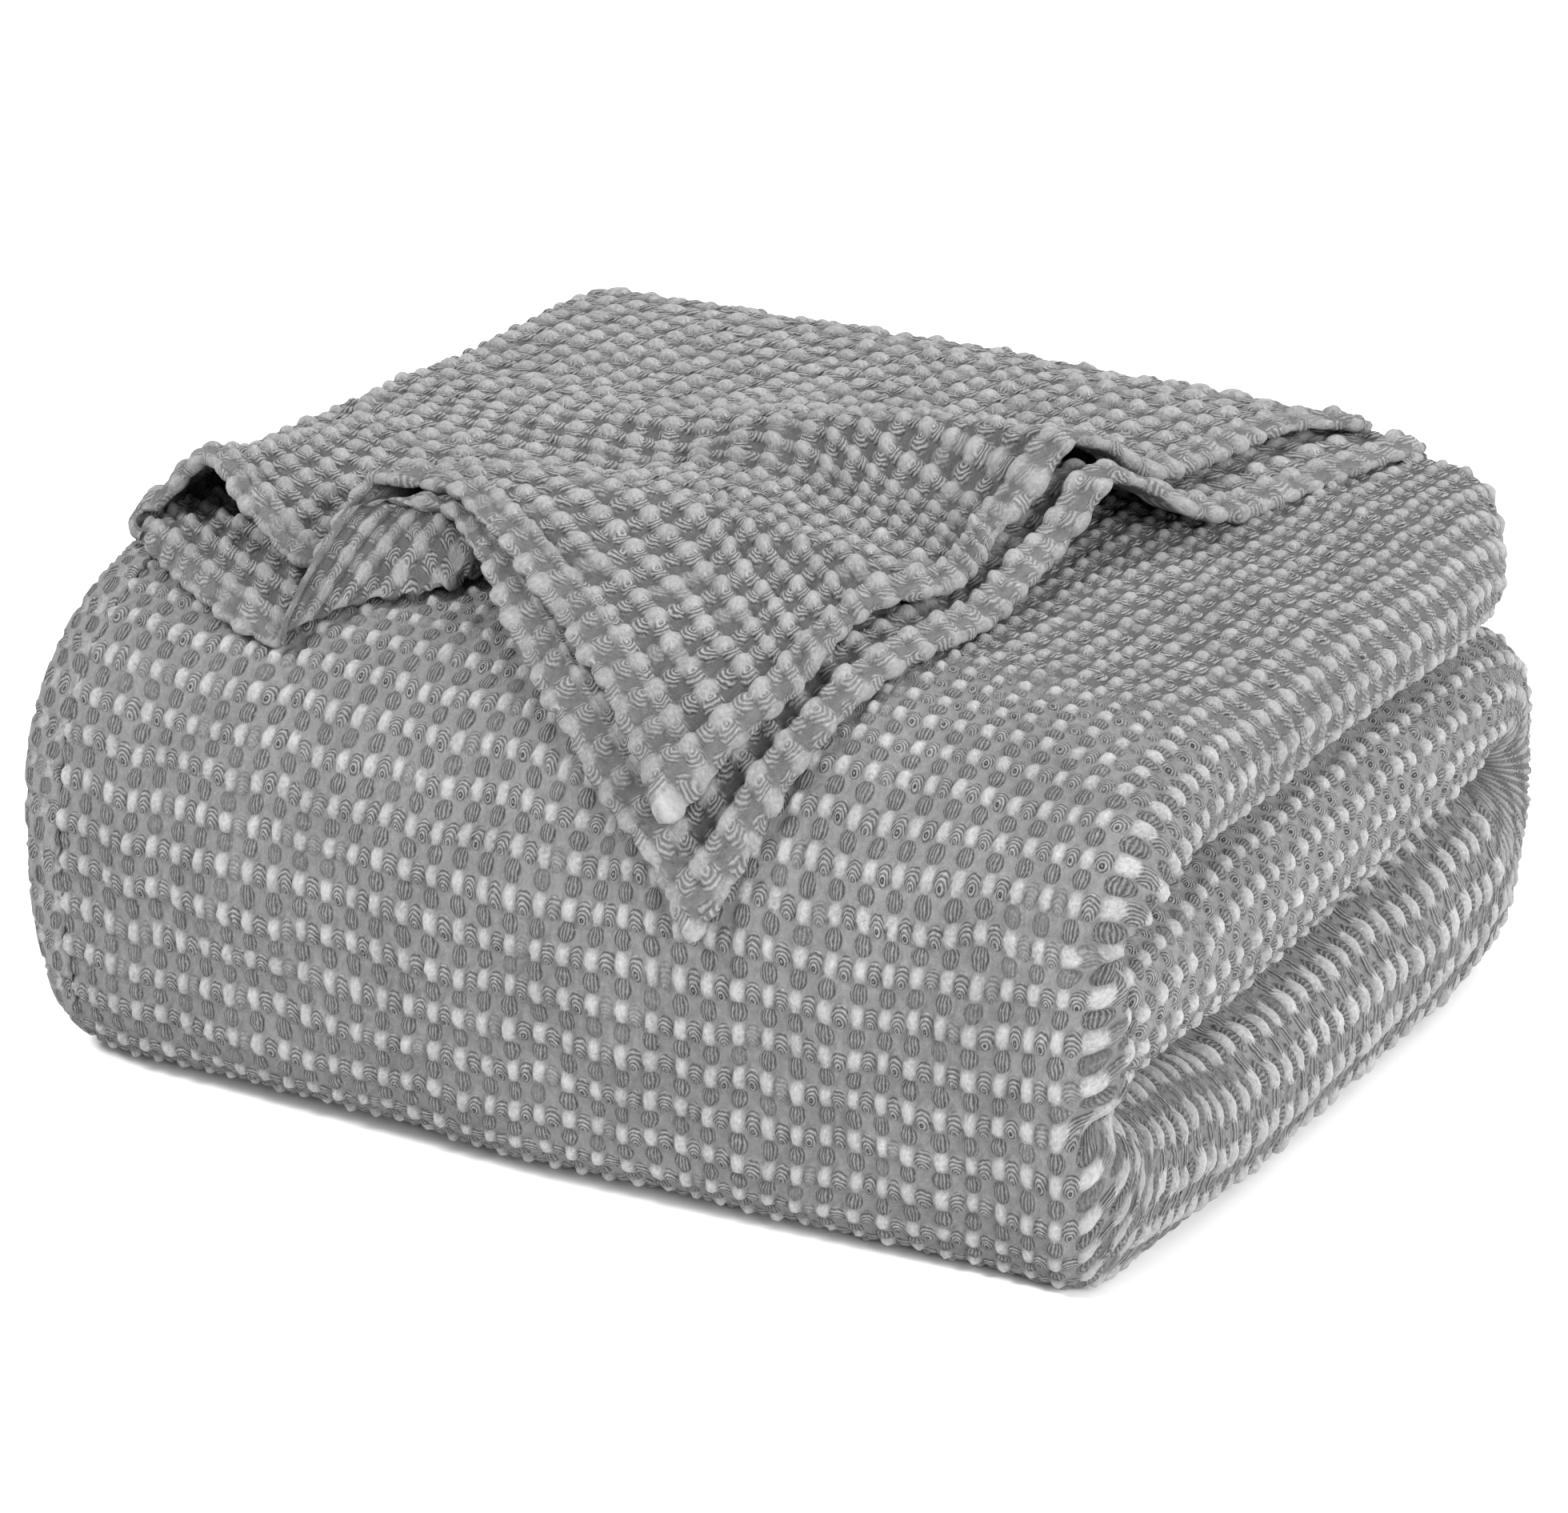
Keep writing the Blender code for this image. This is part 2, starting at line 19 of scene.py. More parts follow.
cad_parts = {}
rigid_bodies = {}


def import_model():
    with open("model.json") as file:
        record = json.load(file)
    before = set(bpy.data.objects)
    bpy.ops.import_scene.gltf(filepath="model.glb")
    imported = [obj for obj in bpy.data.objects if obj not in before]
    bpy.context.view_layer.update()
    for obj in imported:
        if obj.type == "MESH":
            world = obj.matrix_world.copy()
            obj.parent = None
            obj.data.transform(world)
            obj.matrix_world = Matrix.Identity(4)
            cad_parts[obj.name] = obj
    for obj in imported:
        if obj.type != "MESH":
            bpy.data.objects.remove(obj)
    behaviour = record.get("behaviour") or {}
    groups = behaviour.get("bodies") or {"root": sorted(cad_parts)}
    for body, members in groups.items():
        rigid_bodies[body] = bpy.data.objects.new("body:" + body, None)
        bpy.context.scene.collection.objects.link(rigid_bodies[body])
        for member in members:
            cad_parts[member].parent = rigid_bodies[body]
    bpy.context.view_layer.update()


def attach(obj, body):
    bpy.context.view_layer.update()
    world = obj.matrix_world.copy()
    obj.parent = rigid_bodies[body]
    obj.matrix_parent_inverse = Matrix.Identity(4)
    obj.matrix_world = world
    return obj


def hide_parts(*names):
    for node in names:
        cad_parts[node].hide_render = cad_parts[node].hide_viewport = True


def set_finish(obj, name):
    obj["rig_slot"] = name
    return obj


for item in list(bpy.data.objects):
    bpy.data.objects.remove(item, do_unlink=True)
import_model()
bpy.ops.object.select_all(action="DESELECT")
MM = 0.001
SLOT = "grey_cotton"

# %% [markdown]
# ## Reading a short table
# A folded cloth has no straight line to measure from, so its shape is kept as a
# few given rows, such as how far the front bulges at six places. Between two
# rows a curve has to be smooth and must not overshoot, or the cloth would get
# ripples that nobody asked for. A cubic whose slope is zero at each turning
# point does both.

# %% Smooth table reading


def table(names, *rows):
    """A short table: the names of its columns, then its rows of numbers."""
    return [dict(zip(names.split(), row)) for row in rows]


def flow(rows, key, column, at):
    """Smooth reading of one column of a short table at many places at once."""
    knots = np.array([row[key] for row in rows], float)
    values = np.array([row[column] for row in rows], float)
    gaps = np.diff(knots)
    steps = np.diff(values) / gaps
    slopes = np.zeros(len(knots))
    slopes[0], slopes[-1] = steps[0], steps[-1]
    for spot in range(1, len(knots) - 1):
        before, after = steps[spot - 1], steps[spot]
        if before * after > 0.0:
            slopes[spot] = 2.0 * before * after / (before + after)
    at = np.clip(np.asarray(at, float), knots[0], knots[-1])
    low = np.clip(np.searchsorted(knots, at, side="right") - 1, 0, len(gaps) - 1)
    share = (at - knots[low]) / gaps[low]
    return (values[low] * (1 + 2 * share) * (1 - share) ** 2
            + values[low + 1] * share ** 2 * (3 - 2 * share)
            + gaps[low] * share * (1 - share)
            * (slopes[low] * (1 - share) - slopes[low + 1] * share))


hill = table("x y", (0, 0), (1, 10), (2, 0))
print("half way up a hill of 10:", flow(hill, "x", "y", 0.5))

# %% Totals, steps and directions


def so_far(steps):
    """Running total of some steps, from 0."""
    return np.concatenate([[0.0], np.cumsum(steps)])


def ramp(value, low, high):
    """0 below low, 1 above high, straight in between."""
    return np.clip((np.asarray(value, float) - low) / (high - low), 0.0, 1.0)


def fade(value, low=0.0, high=1.0):
    """0 below low, 1 above high, soft in between."""
    share = ramp(value, low, high)
    return share * share * (3.0 - 2.0 * share)


def unit(vectors):
    """The same directions, each of length 1."""
    size = np.linalg.norm(vectors, axis=-1, keepdims=True)
    return vectors / np.maximum(size, 1e-9)


print("a soft step at a quarter:", fade(0.25))

# %% Soft noise


def soft_noise(u, v, step, seed):
    """Smooth random values of about -1 to 1 that change over a given step."""
    count = 97
    chances = np.random.default_rng(seed).uniform(-1.0, 1.0, (count, count))
    column, row = np.asarray(u) / step, np.asarray(v) / step
    left, low = np.floor(column).astype(int), np.floor(row).astype(int)
    across, up = fade(column - left), fade(row - low)

    def line(high):
        near, far = (chances[(left + k) % count, high % count] for k in (0, 1))
        return near * (1 - across) + far * across

    return line(low) * (1 - up) + line(low + 1) * up


print("noise at one spot:", round(float(soft_noise(3.0, 4.0, 12.0, 3)), 2))

# %% [markdown]
# ## The folded shape
# The strip of plies follows one path: the tucked-in third, round the back, the
# floor third, up the bulging front and back over the top. At each station of
# that path the strip has an outer and an inner line, and a point of the cloth
# lies a share of the way between them. These are the sizes the CAD solid is
# built from, repeated here because a scene reads nothing but the frame.

# %% Sizes of the folded strip
PLIES = 8
LEFT_X = -197.0
RIGHT_X = 206.0
BEND_WIDE = 36.0
BEND_X = RIGHT_X - BEND_WIDE  # where the round right side begins
LEFT_BEND_X = LEFT_X + 18.0   # where the round left folds begin
SIDE_ROUND = 2.0 / 2.3        # power that squares a round fold a little
STRIP_THICK = 57.0            # about one third of the height
FRONT_FOLD_Y = -95.0
BACK_FOLD_Y = 112.0
BACK_Y = 178.0
TOP_END_Y = 168.0
TURN_Y = 170.0                # where the laid-over plies turn down behind
INNER_END_Y = -154.0
TOP_Z = 171.0
FACE_FOOT, FACE_ROUND = 70.0, 2.5      # the front's shoulder begins at this height
CENTRE = np.array([9.5, -9.3, 0.0])
STRIP_GAP = 1.6
CREASE_Z = (58.0, 112.0)
GROOVE_DEEP, GROOVE_WIDE = 8.0, 7.0    # of those creases on the right corner
print("strip of", PLIES, "plies,", RIGHT_X - LEFT_X, "mm wide")

# %% Bulge, creases, lobes and swell
FRONT_BULGE = table(
    "x front_y corner wrap",
    (-205, -193, 20, 36), (-150, -199, 22, 40), (-40, -199, 22, 40),
    (80, -192, 18, 34), (160, -183, 10, 25), (210, -176, 6, 18))
CREASES = table(
    "y low high",
    (-160, 58.0, 112.0), (-90, 60.0, 122.0), (10, 66.0, 128.0), (90, 75.0, 127.0),
    (150, 84.0, 122.0))
LOBES = table(
    "y low mid top",
    (-180, 206, 203, 203), (-150, 210, 207, 207), (-60, 216, 212, 212),
    (50, 216, 213, 212), (110, 213, 211, 206), (150, 205, 203, 191),
    (180, 190, 188, 176))
TOP_SWELL = table(
    "x rise",
    (-205, -1.5), (-120, 0.5), (0, 2.0), (120, 0.5), (210, -3.5))
print("the low lobe bulges", max(row["low"] for row in LOBES) - RIGHT_X, "mm")

# %% [markdown]
# A station is one cut through the strip. Its four numbers come from plain curves:
# a rounded shoulder for the front, a squared half circle for the back, straight
# lines for the thirds. The right side is pushed out or in by the table of lobes,
# and the folds that bear the weight of the pile are pressed flatter.

# %% Front face


def shoulder(share, power):
    """Height of a rounded corner, 1 at share 0 and 0 at share 1."""
    return (1.0 - np.clip(share, 0.0, 1.0) ** power) ** (1.0 / power)


def round_side(turn, power=SIDE_ROUND):
    """A half turn squared a little: how far out, and how far up."""
    up = np.cos(turn)
    return np.sin(turn) ** power, np.sign(up) * abs(up) ** power


def outer_front(x, level):
    """Front face at one height: a low corner, a flat, a round shoulder."""
    front = flow(FRONT_BULGE, "x", "front_y", x)
    corner = flow(FRONT_BULGE, "x", "corner", x)
    slack = 4.0 * ramp(-level, -FACE_FOOT, 0.0) ** 2
    round_foot = corner * (1.0 - shoulder(1.0 - level / corner, 2.0))
    high = FRONT_FOLD_Y - (FRONT_FOLD_Y - front) * shoulder(
        (level - FACE_FOOT) / (TOP_Z - FACE_FOOT), FACE_ROUND)
    return np.where(level > FACE_FOOT, high, front + slack + round_foot)


print("front at x 0, mid height:", round(float(outer_front(np.zeros(1), 85.0)[0]), 1))

# %% Creases and inner line


def crease(side, y):
    """Height of one crease between the thirds."""
    return flow(CREASES, "y", side, y)


def inner_front(x, share):
    """Inner line of the front: in along the low crease, up, and back out."""
    deep = flow(FRONT_BULGE, "x", "front_y", x) + flow(FRONT_BULGE, "x", "wrap", x)
    low = crease("low", FRONT_FOLD_Y) - STRIP_GAP / 2
    high = crease("high", FRONT_FOLD_Y) + STRIP_GAP
    along, up = FRONT_FOLD_Y - deep, high - low
    total = 2.0 * along + up
    reach = min(0.09, share, 1.0 - share)
    y, z = 0.0, 0.0
    for step in np.linspace(-reach, reach, 7):
        gone = (share + step) * total
        out = np.minimum(gone, along) - np.clip(gone - along - up, 0.0, None)
        y = y + (FRONT_FOLD_Y - out) / 7.0
        z = z + (low + np.clip(gone - along, 0.0, up)) / 7.0
    return y, z


print("low crease in the middle:", crease("low", 0.0).round(1), "mm up")

# %% Top, left side and front shares


def swell(x, y):
    """Gentle rise of the top surface."""
    return flow(TOP_SWELL, "x", "rise", x) * ramp(y, -190.0, -70.0)


def left_lean(x, z):
    """The left side leans in towards the floor and towards the top."""
    weight = fade(-x, 150.0, 205.0)
    return weight * (9.0 * ramp(-z, -55.0, 0.0) ** 1.5 + 3.0 * ramp(z, 110.0, 170.0))


def front_shares():
    """Front values, -1 at the floor fold to TOP_Z, and their share of the way."""
    foot = 20.0 * np.linspace(0.0, 1.0, 80) ** 2
    high = FACE_FOOT + (TOP_Z - FACE_FOOT) * (
        1.0 - np.linspace(1.0, 0.0, 160) ** FACE_ROUND)
    values = np.concatenate([np.linspace(-1.0, -0.02, 60), foot,
                             np.linspace(20.5, 69.5, 60), high])
    level = np.maximum(values, 0.0)
    y = outer_front(np.zeros(len(level)), level)
    y = y + (FRONT_FOLD_Y - y) * np.maximum(-values, 0.0)
    way = so_far(np.hypot(np.diff(y), np.diff(level)))
    return values, way / way[-1]


FRONT_VALUES, FRONT_SHARES = front_shares()
print(len(FRONT_VALUES), "front values")

# %% Four numbers of a station


def station(kind, value, x):
    """Outer y, outer z, inner y, inner z of the strip at one station.
    A front value under 0 is still on the floor, before the foot of the face."""
    if kind == "middle":
        four = value, crease("high", value), value, crease("low", value) + STRIP_GAP / 2
    elif kind == "back":
        high, low = crease("high", BACK_FOLD_Y), crease("low", BACK_FOLD_Y)
        angle = math.pi * value
        side, rise = round_side(angle, 0.8)
        four = (BACK_FOLD_Y + (BACK_Y - BACK_FOLD_Y) * side, high / 2 + high / 2 * rise,
                BACK_FOLD_Y + 5.0 * math.sin(angle),
                low + STRIP_GAP / 2 * math.cos(angle))
    elif kind == "floor":
        four = value, 0.0, value, crease("low", value) - STRIP_GAP / 2
    elif kind == "front":
        level = max(value, 0.0)
        out_y = outer_front(x, level)
        out_y = out_y + (FRONT_FOLD_Y - out_y) * max(-value, 0.0)
        share = float(np.interp(value, FRONT_VALUES, FRONT_SHARES))
        four = (out_y, level + swell(x, out_y) * level / TOP_Z, *inner_front(x, share))
    else:
        four = value, TOP_Z + swell(x, value), value, crease("high", value) + STRIP_GAP
    return [number + np.zeros_like(x) for number in four]


print("top at y 0:", [round(float(n[0]), 1) for n in station("top", 0.0, np.zeros(1))])

# %% One row of the strip


def strip_row(kind, value, x, share):
    """One row of cloth points across the strip at one station."""
    out_y, out_z, in_y, in_z = station(kind, value, x)
    press = float({"back": fade(value, 0.35, 0.55), "floor": 1.0,
                   "front": 1.0 - fade(value, 148.0, 170.0)}.get(kind, 0.0))
    beyond = np.clip((x - BEND_X) / BEND_WIDE, 0.0, None)
    pressed = BEND_X + BEND_WIDE * beyond ** 0.33
    squeeze = press * np.clip(1.0 - 2.0 * share, 0.0, 1.0) * (beyond > 0.0)
    x = x + (pressed - x) * squeeze
    y = out_y + (in_y - out_y) * share
    z = out_z + (in_z - out_z) * share
    upper = "mid" if kind in ("middle", "back") else "top"
    low, high = (flow(LOBES, "y", lobe, y) - RIGHT_X for lobe in ("low", upper))
    shift = high + (low - high) * press
    if kind == "front":
        groove = sum(GROOVE_DEEP * np.exp(-((z - level) / GROOVE_WIDE) ** 2)
                     for level in CREASE_Z)
        groove = groove * (1.0 - 0.3 * ramp(y, -185.0, -125.0))
        shift = shift - groove
    weight = np.clip((x - 100.0) / (RIGHT_X - 100.0), 0.0, None) ** 2
    return np.stack([x + shift * weight + left_lean(x, z), y, z], axis=-1)


ends = strip_row("floor", 0.0, np.array([LEFT_X, RIGHT_X]), 0.0)[:, 0]
print("the floor row runs from x", *(round(float(x), 1) for x in ends))

# %% [markdown]
# ## Measuring along the cloth
# A weave is regular along the cloth, not along X or Z, so the length of the path
# is measured first. The waffle cells are about 10 mm wide. Where the front hangs
# under its own weight they are drawn out to 15 mm, and on the round folded edges
# to 17 mm, so the cell count is added up with a pitch that changes on the way.

# %% Path of the outer cloth
CELL = 10.0
FRONT_CELL = 15.3
EDGE_CELL = 17.5


def path_table():
    """Dense stations of the path: kind, value, and length so far at x = 0."""
    plan = [("middle", np.linspace(INNER_END_Y, BACK_FOLD_Y, 60)),
            ("back", np.linspace(0.0, 1.0, 240)),
            ("floor", np.linspace(BACK_FOLD_Y, FRONT_FOLD_Y, 60)),
            ("front", FRONT_VALUES),
            ("top", np.linspace(FRONT_FOLD_Y, TOP_END_Y, 80))]
    kinds, values, spots = [], [], []
    for kind, steps in plan:
        for value in steps:
            out_y, out_z, _, _ = station(kind, value, np.zeros(1))
            kinds.append(kind)
            values.append(value)
            spots.append((out_y[0], out_z[0]))
    length = so_far(np.hypot(*np.diff(np.array(spots), axis=0).T))
    return kinds, np.array(values), length


KINDS, VALUES, LENGTH = path_table()
first = {kind: KINDS.index(kind) for kind in dict.fromkeys(KINDS)}
foot_start = float(LENGTH[first["front"] + int(np.argmax(FRONT_VALUES >= 0.0))])
top_start = float(LENGTH[first["top"]])
on_front = fade(LENGTH, foot_start + 10, foot_start + 45) \
    * (1.0 - fade(LENGTH, top_start - 85, top_start - 30))
pitch = CELL + (FRONT_CELL - CELL) * on_front
PATH_CELLS = so_far(np.diff(LENGTH) / pitch[1:])
TOP_CELL = float(PATH_CELLS[first["top"]])
print("path", round(LENGTH[-1]), "mm,", round(PATH_CELLS[-1]), "cells")

# %% [markdown]
# The outer cloth also has to be followed across the strip, from the left folds over
# the outside and round the right side. There the lowest lobe is pulled tight and its
# cells are long, while the two lobes above it lie slack.

# %% Line across the outer cloth
LEFT_OUT, RIGHT_OUT = 20.0, 38.0       # reach of the round folds past their bends
UNDER_LEFT, INTO_CREASE = 30.0, 45.0   # how far the line goes on inside them


def across_line():
    """Dense line round the strip: x and depth share. It starts under the left
    fold, runs over the outside and ends in the right crease."""
    left = LEFT_BEND_X
    out, climb = round_side(np.linspace(0.0, math.pi, 240))
    x = np.concatenate([np.linspace(left + UNDER_LEFT, left, 20), left - LEFT_OUT * out,
                        np.linspace(left, BEND_X, 300), BEND_X + RIGHT_OUT * out,
                        np.linspace(BEND_X, BEND_X - INTO_CREASE, 30)])
    share = np.concatenate([np.full(20, 0.47), 0.235 + 0.235 * climb[::-1],
                            np.zeros(300), 0.5 - 0.5 * climb, np.ones(30)])
    keep = np.concatenate([[True], np.hypot(np.diff(x), np.diff(share)) > 1e-6])
    return x[keep], share[keep]


ACROSS_X, ACROSS_SHARE = across_line()
on_top = np.flatnonzero(ACROSS_SHARE == 0.0)
MIDDLE = int(on_top[np.argmin(abs(ACROSS_X[on_top]))])
LOBE_START = int(on_top[np.argmin(abs(ACROSS_X[on_top] - 110.0))])
STRETCH = fade(ACROSS_SHARE, 0.0, 0.12) * (ACROSS_X > BEND_X)
print("across line of", len(ACROSS_X), "points")

# %% Even spacing by cells
SLACK = 0.65                  # share of that stretch missing on the upper lobes


def lobe_pull(cell):
    """Pull on the round side: full on the low lobe, less on the two above."""
    begin, finish = (PATH_CELLS[first[kind]] for kind in ("back", "floor"))
    return float(1.0 - SLACK * (1.0 - fade(cell, begin, finish))
                 - SLACK * fade(cell, TOP_CELL - 12.0, TOP_CELL))


def even_row(dense, columns, pull, start, end):
    """Points, cells and stretch, spread evenly by the weave over one row."""
    stretch = STRETCH * pull
    pitch_here = CELL + (EDGE_CELL - CELL) * stretch
    cells = so_far(np.linalg.norm(np.diff(dense, axis=0), axis=1) / pitch_here[1:])
    cells -= cells[MIDDLE]
    spots = np.linspace(cells[start], cells[end], columns)
    points = [np.interp(spots, cells, dense[:, axis]) for axis in range(3)]
    return np.stack(points, axis=-1), spots, np.interp(spots, cells, stretch)


print("pull on the top lobe:", round(lobe_pull(PATH_CELLS[-1]), 2))

# %% [markdown]
# ## The waffle relief
# Each cell of this weave has four blocks: a plump pad of cut-looking cotton,
# a weft float beside it, a warp float in front of it and a flat plain patch.
# Where threads float they lift, where they are bound the cloth sinks. Tight cloth
# draws the blocks wide, loose cloth lets the pads puff up. The cells of a washed
# blanket are never on a perfect grid, so their lines wander a little before the
# height of each block is worked out.

# %% Height of the weave
RELIEF = 2.8
PLY_RELIEF = 4.1
PAD = {"u": 0.25, "v": 0.74, "wide": 0.25, "tall": 0.29, "height": 1.0}
WEFT = {"u": 0.74, "v": 0.72, "wide": 0.26, "tall": 0.29, "height": 0.66}
WARP = {"u": 0.26, "v": 0.24, "wide": 0.32, "tall": 0.25, "height": 0.60}
WIDEN = 0.42                  # blocks grow this much across in tight cloth
PLUMP = 0.2                   # pads grow this much both ways in loose cloth
SINK = 0.45                   # share of the relief that lies under the sheet


def wander(cells):
    """Let the lines of cells drift and jitter, as in washed cloth."""
    u, v = cells[..., 0], cells[..., 1]
    new_u = u + 0.35 * soft_noise(u, v, 12.0, 3) + 0.15 * soft_noise(u, v, 1.6, 5)
    new_v = v + 0.35 * soft_noise(u, v, 12.0, 7) + 0.15 * soft_noise(u, v, 1.5, 9)
    return np.stack([new_u, new_v], axis=-1)


def block(u, v, shape, seed, wider, plump, round_top=0.6):
    """Dome of one block in every cell, each cell a little different."""
    sizes = np.random.default_rng(seed).uniform(0.72, 1.18, (61, 61))
    column, row = np.floor(u - shape["u"] + 0.5), np.floor(v - shape["v"] + 0.5)
    size = sizes[column.astype(int) % 61, row.astype(int) % 61]
    grown = size ** 0.5 * (1.0 + PLUMP * plump)
    across = abs(u - column - shape["u"]) / (shape["wide"] * grown * wider)
    up = abs(v - row - shape["v"]) / (shape["tall"] * grown)
    dome = np.clip(1.0 - across ** 2.2 - up ** 2.2, 0.0, 1.0)
    return shape["height"] * size * dome ** round_top


def waffle_height(cells, stretch=0.0, plump=0.0):
    """Height of the cloth over its plain patches, 0 to about 1."""
    u, v = cells[..., 0], cells[..., 1]
    wider = 1.0 + WIDEN * stretch
    height = np.maximum(block(u, v, PAD, 11, wider, plump, 0.8),
                        block(u, v, WEFT, 12, wider, 0.0))
    return np.maximum(height, block(u, v, WARP, 13, wider, 0.0))


print("relief", RELIEF, "mm")

# %% [markdown]
# ## Making a cloth piece
# A sheet is a grid: it is added as one flat grid, and each point is then put at
# its place on the folds and lifted along the cloth's own outward direction by
# the relief. The cell position goes with it as the UV map "weave", so that the
# colours of the finish later fall on the same pads.

# %% Directions and lengths on a grid


def outward(base):
    """Unit direction away from the cloth at every grid point, a little evened
    out so that the relief doesn't splay at a sharp bend."""
    normal = np.cross(np.gradient(base, axis=1), np.gradient(base, axis=0))
    for _ in range(4):
        normal = unit(normal)
        for axis in (0, 1):
            ends = [(1, 1) if axis == k else (0, 0) for k in range(3)]
            wide = np.pad(normal, ends, mode="edge")
            normal = sum(np.take(wide, np.arange(k, k + normal.shape[axis]), axis)
                         for k in range(3))
    return unit(normal)


def running(points, axis):
    """Distance along the rows or columns of a grid of points."""
    steps = np.linalg.norm(np.diff(points, axis=axis), axis=-1)
    ends = [(1, 0) if axis == k else (0, 0) for k in (0, 1)]
    return np.pad(np.cumsum(steps, axis=axis), ends)


def room(base, cells):
    """Share of the full relief that fits where the cells are squeezed small."""
    narrow = np.full(base.shape[:2], 99.0)
    for axis in (0, 1):
        way = np.linalg.norm(np.gradient(base, axis=axis), axis=-1)
        gone = np.linalg.norm(np.gradient(cells, axis=axis), axis=-1)
        narrow = np.minimum(narrow, way / np.maximum(gone, 1e-3))
    return np.clip(narrow / 8.0, 0.1, 1.0)


square = np.stack(np.meshgrid(range(3), range(3), [0.0]), axis=-1)[:, :, 0]
print("outward of a flat square:", outward(square)[1, 1])

# %% Cloth grid


def cloth_grid(name, points, cells, place=None):
    """A grid mesh with its points placed and its two maps set: the weave, and
    the place, which tells how stretched the cloth is and what share is hem."""
    rows, columns = points.shape[:2]
    bpy.ops.object.select_all(action="DESELECT")
    bpy.ops.mesh.primitive_grid_add(x_subdivisions=columns - 1,
                                    y_subdivisions=rows - 1, size=1.0)
    piece = bpy.context.object
    piece.name = piece.data.name = name
    mesh = piece.data
    flat = np.empty(len(mesh.vertices) * 3)
    mesh.vertices.foreach_get("co", flat)
    flat = flat.reshape(-1, 3).round(5)
    order = np.lexsort((flat[:, 0], flat[:, 1]))
    placed = np.empty_like(flat)
    points = np.concatenate([points[..., :2], np.maximum(points[..., 2:], 0.0)], -1)
    placed[order] = (points.reshape(-1, 3) - CENTRE) * MM
    mesh.vertices.foreach_set("co", placed.ravel())
    corners = np.empty(len(mesh.loops), int)
    mesh.loops.foreach_get("vertex_index", corners)
    place = np.zeros_like(cells) if place is None else place
    mesh.uv_layers[0].name = "weave"
    mesh.uv_layers.new(name="place")
    for map_name, values in (("weave", cells), ("place", place)):
        ordered = np.empty((len(flat), 2))
        ordered[order] = values.reshape(-1, 2)
        layer = mesh.uv_layers[map_name]
        layer.data.foreach_set("uv", ordered[corners].ravel())
    mesh.update()
    bpy.ops.object.shade_smooth()
    return piece


def wear(piece, flat):
    """Attach this piece of the cloth to the frame, hide the CAD blanket and give the
    piece its finish slot.
    """
    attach(piece, "root")
    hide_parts("blanket")
    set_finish(piece, SLOT)
    print(piece.name, "has", sum(len(f.vertices) - 2 for f in piece.data.polygons),
          "triangles")


print("maps of every sheet: weave and place")

# %% [markdown]
# ## The outer cloth
# On the blanket this is one cloth. Here it is made in six pieces that meet at the
# folds and lap a little, so that each may have enough points for its relief. Rows
# are spaced by weave cells and not by millimetres, so every pad gets the same
# number of points whether the cloth is tight or slack.

# %% Spots on the path
NOSE_REACH = 10.0             # of the drawn-together end of the cloth


def path_spot(cell):
    """Kind and value of the station at one cell of the path."""
    here = int(np.clip(np.searchsorted(PATH_CELLS, cell, side="right"), 1,
                       len(PATH_CELLS) - 1))
    if KINDS[here] != KINDS[here - 1]:
        return KINDS[here], VALUES[here]
    part = (cell - PATH_CELLS[here - 1]) / (PATH_CELLS[here] - PATH_CELLS[here - 1])
    return KINDS[here], VALUES[here - 1] + part * (VALUES[here] - VALUES[here - 1])


def closed_nose(row, angle):
    """A row of cloth drawn in towards a closed, rounded end in front of it."""
    middle = (row[:, 2].min() + row[:, 2].max()) / 2.0
    nose = row - [0.0, NOSE_REACH * math.sin(angle), 0.0]
    nose[:, 2] = middle + (row[:, 2] - middle) * math.cos(angle)
    return nose


print("cell 60 lies on the", path_spot(60.0)[0])

# %% Outer cloth of the strip
PUFF, PUFF_CELLS = 1.1, 5.5   # slow rise and fall of the cloth, mm, and its pitch


def strip_cloth(name, start, end, columns, side=(0, -1), per_cell=8.0, nose=0):
    """Part of the outer cloth between two lengths along the path."""
    begin, finish = np.interp([start, end], LENGTH, PATH_CELLS)
    along = np.linspace(begin, finish, int(round((finish - begin) * per_cell)) + 1)
    base, across, stretch = [], [], []
    for cell in along:
        kind, value = path_spot(cell)
        dense = strip_row(kind, value, ACROSS_X, ACROSS_SHARE)
        for made, item in zip((base, across, stretch),
                              even_row(dense, columns, lobe_pull(cell), *side)):
            made.append(item)
    for step in range(1, nose + 1):
        base.insert(0, closed_nose(base[step - 1], math.pi / 2.0 * step / nose))
        across.insert(0, across[0])
        stretch.insert(0, stretch[0])
    along = np.concatenate([along[0] - 0.12 * np.arange(nose, 0, -1), along])
    base, across, stretch = np.array(base), np.array(across), np.array(stretch)
    grid = np.stack([across, np.broadcast_to(along[:, None], across.shape)], axis=-1)
    cells = wander(grid)
    puff = PUFF * soft_noise(grid[..., 0], grid[..., 1], PUFF_CELLS, 21)
    softer = 0.5 * fade(along, TOP_CELL - 4.0, TOP_CELL + 2.0)[:, None] \
        * (1.0 - stretch)
    waffle = waffle_height(cells, stretch, 2.0 * softer) - SINK
    height = RELIEF * (1.0 + 0.3 * stretch + 0.2 * softer) * waffle
    fits = room(base, grid)
    height = (height + puff) * fits
    points = base + outward(base) * height[..., None]
    # where the cells are squeezed into a crease the place map marks the cloth loose,
    # and its finish then paints shade into the crease
    place = np.stack([stretch, np.maximum(softer, 0.9 - 0.9 * fits)], axis=-1)
    wide = float(np.mean(running(base, 1)[:, -1]))
    wear(cloth_grid(name, points, cells, place), (wide * MM, (end - start) * MM))


# %% [markdown]
# The seams lie where the folds hide them: under the loose plies, in the right
# creases and beneath the strip. The middle lobe starts at the tucked-in end, which
# is drawn together into a closed nose.

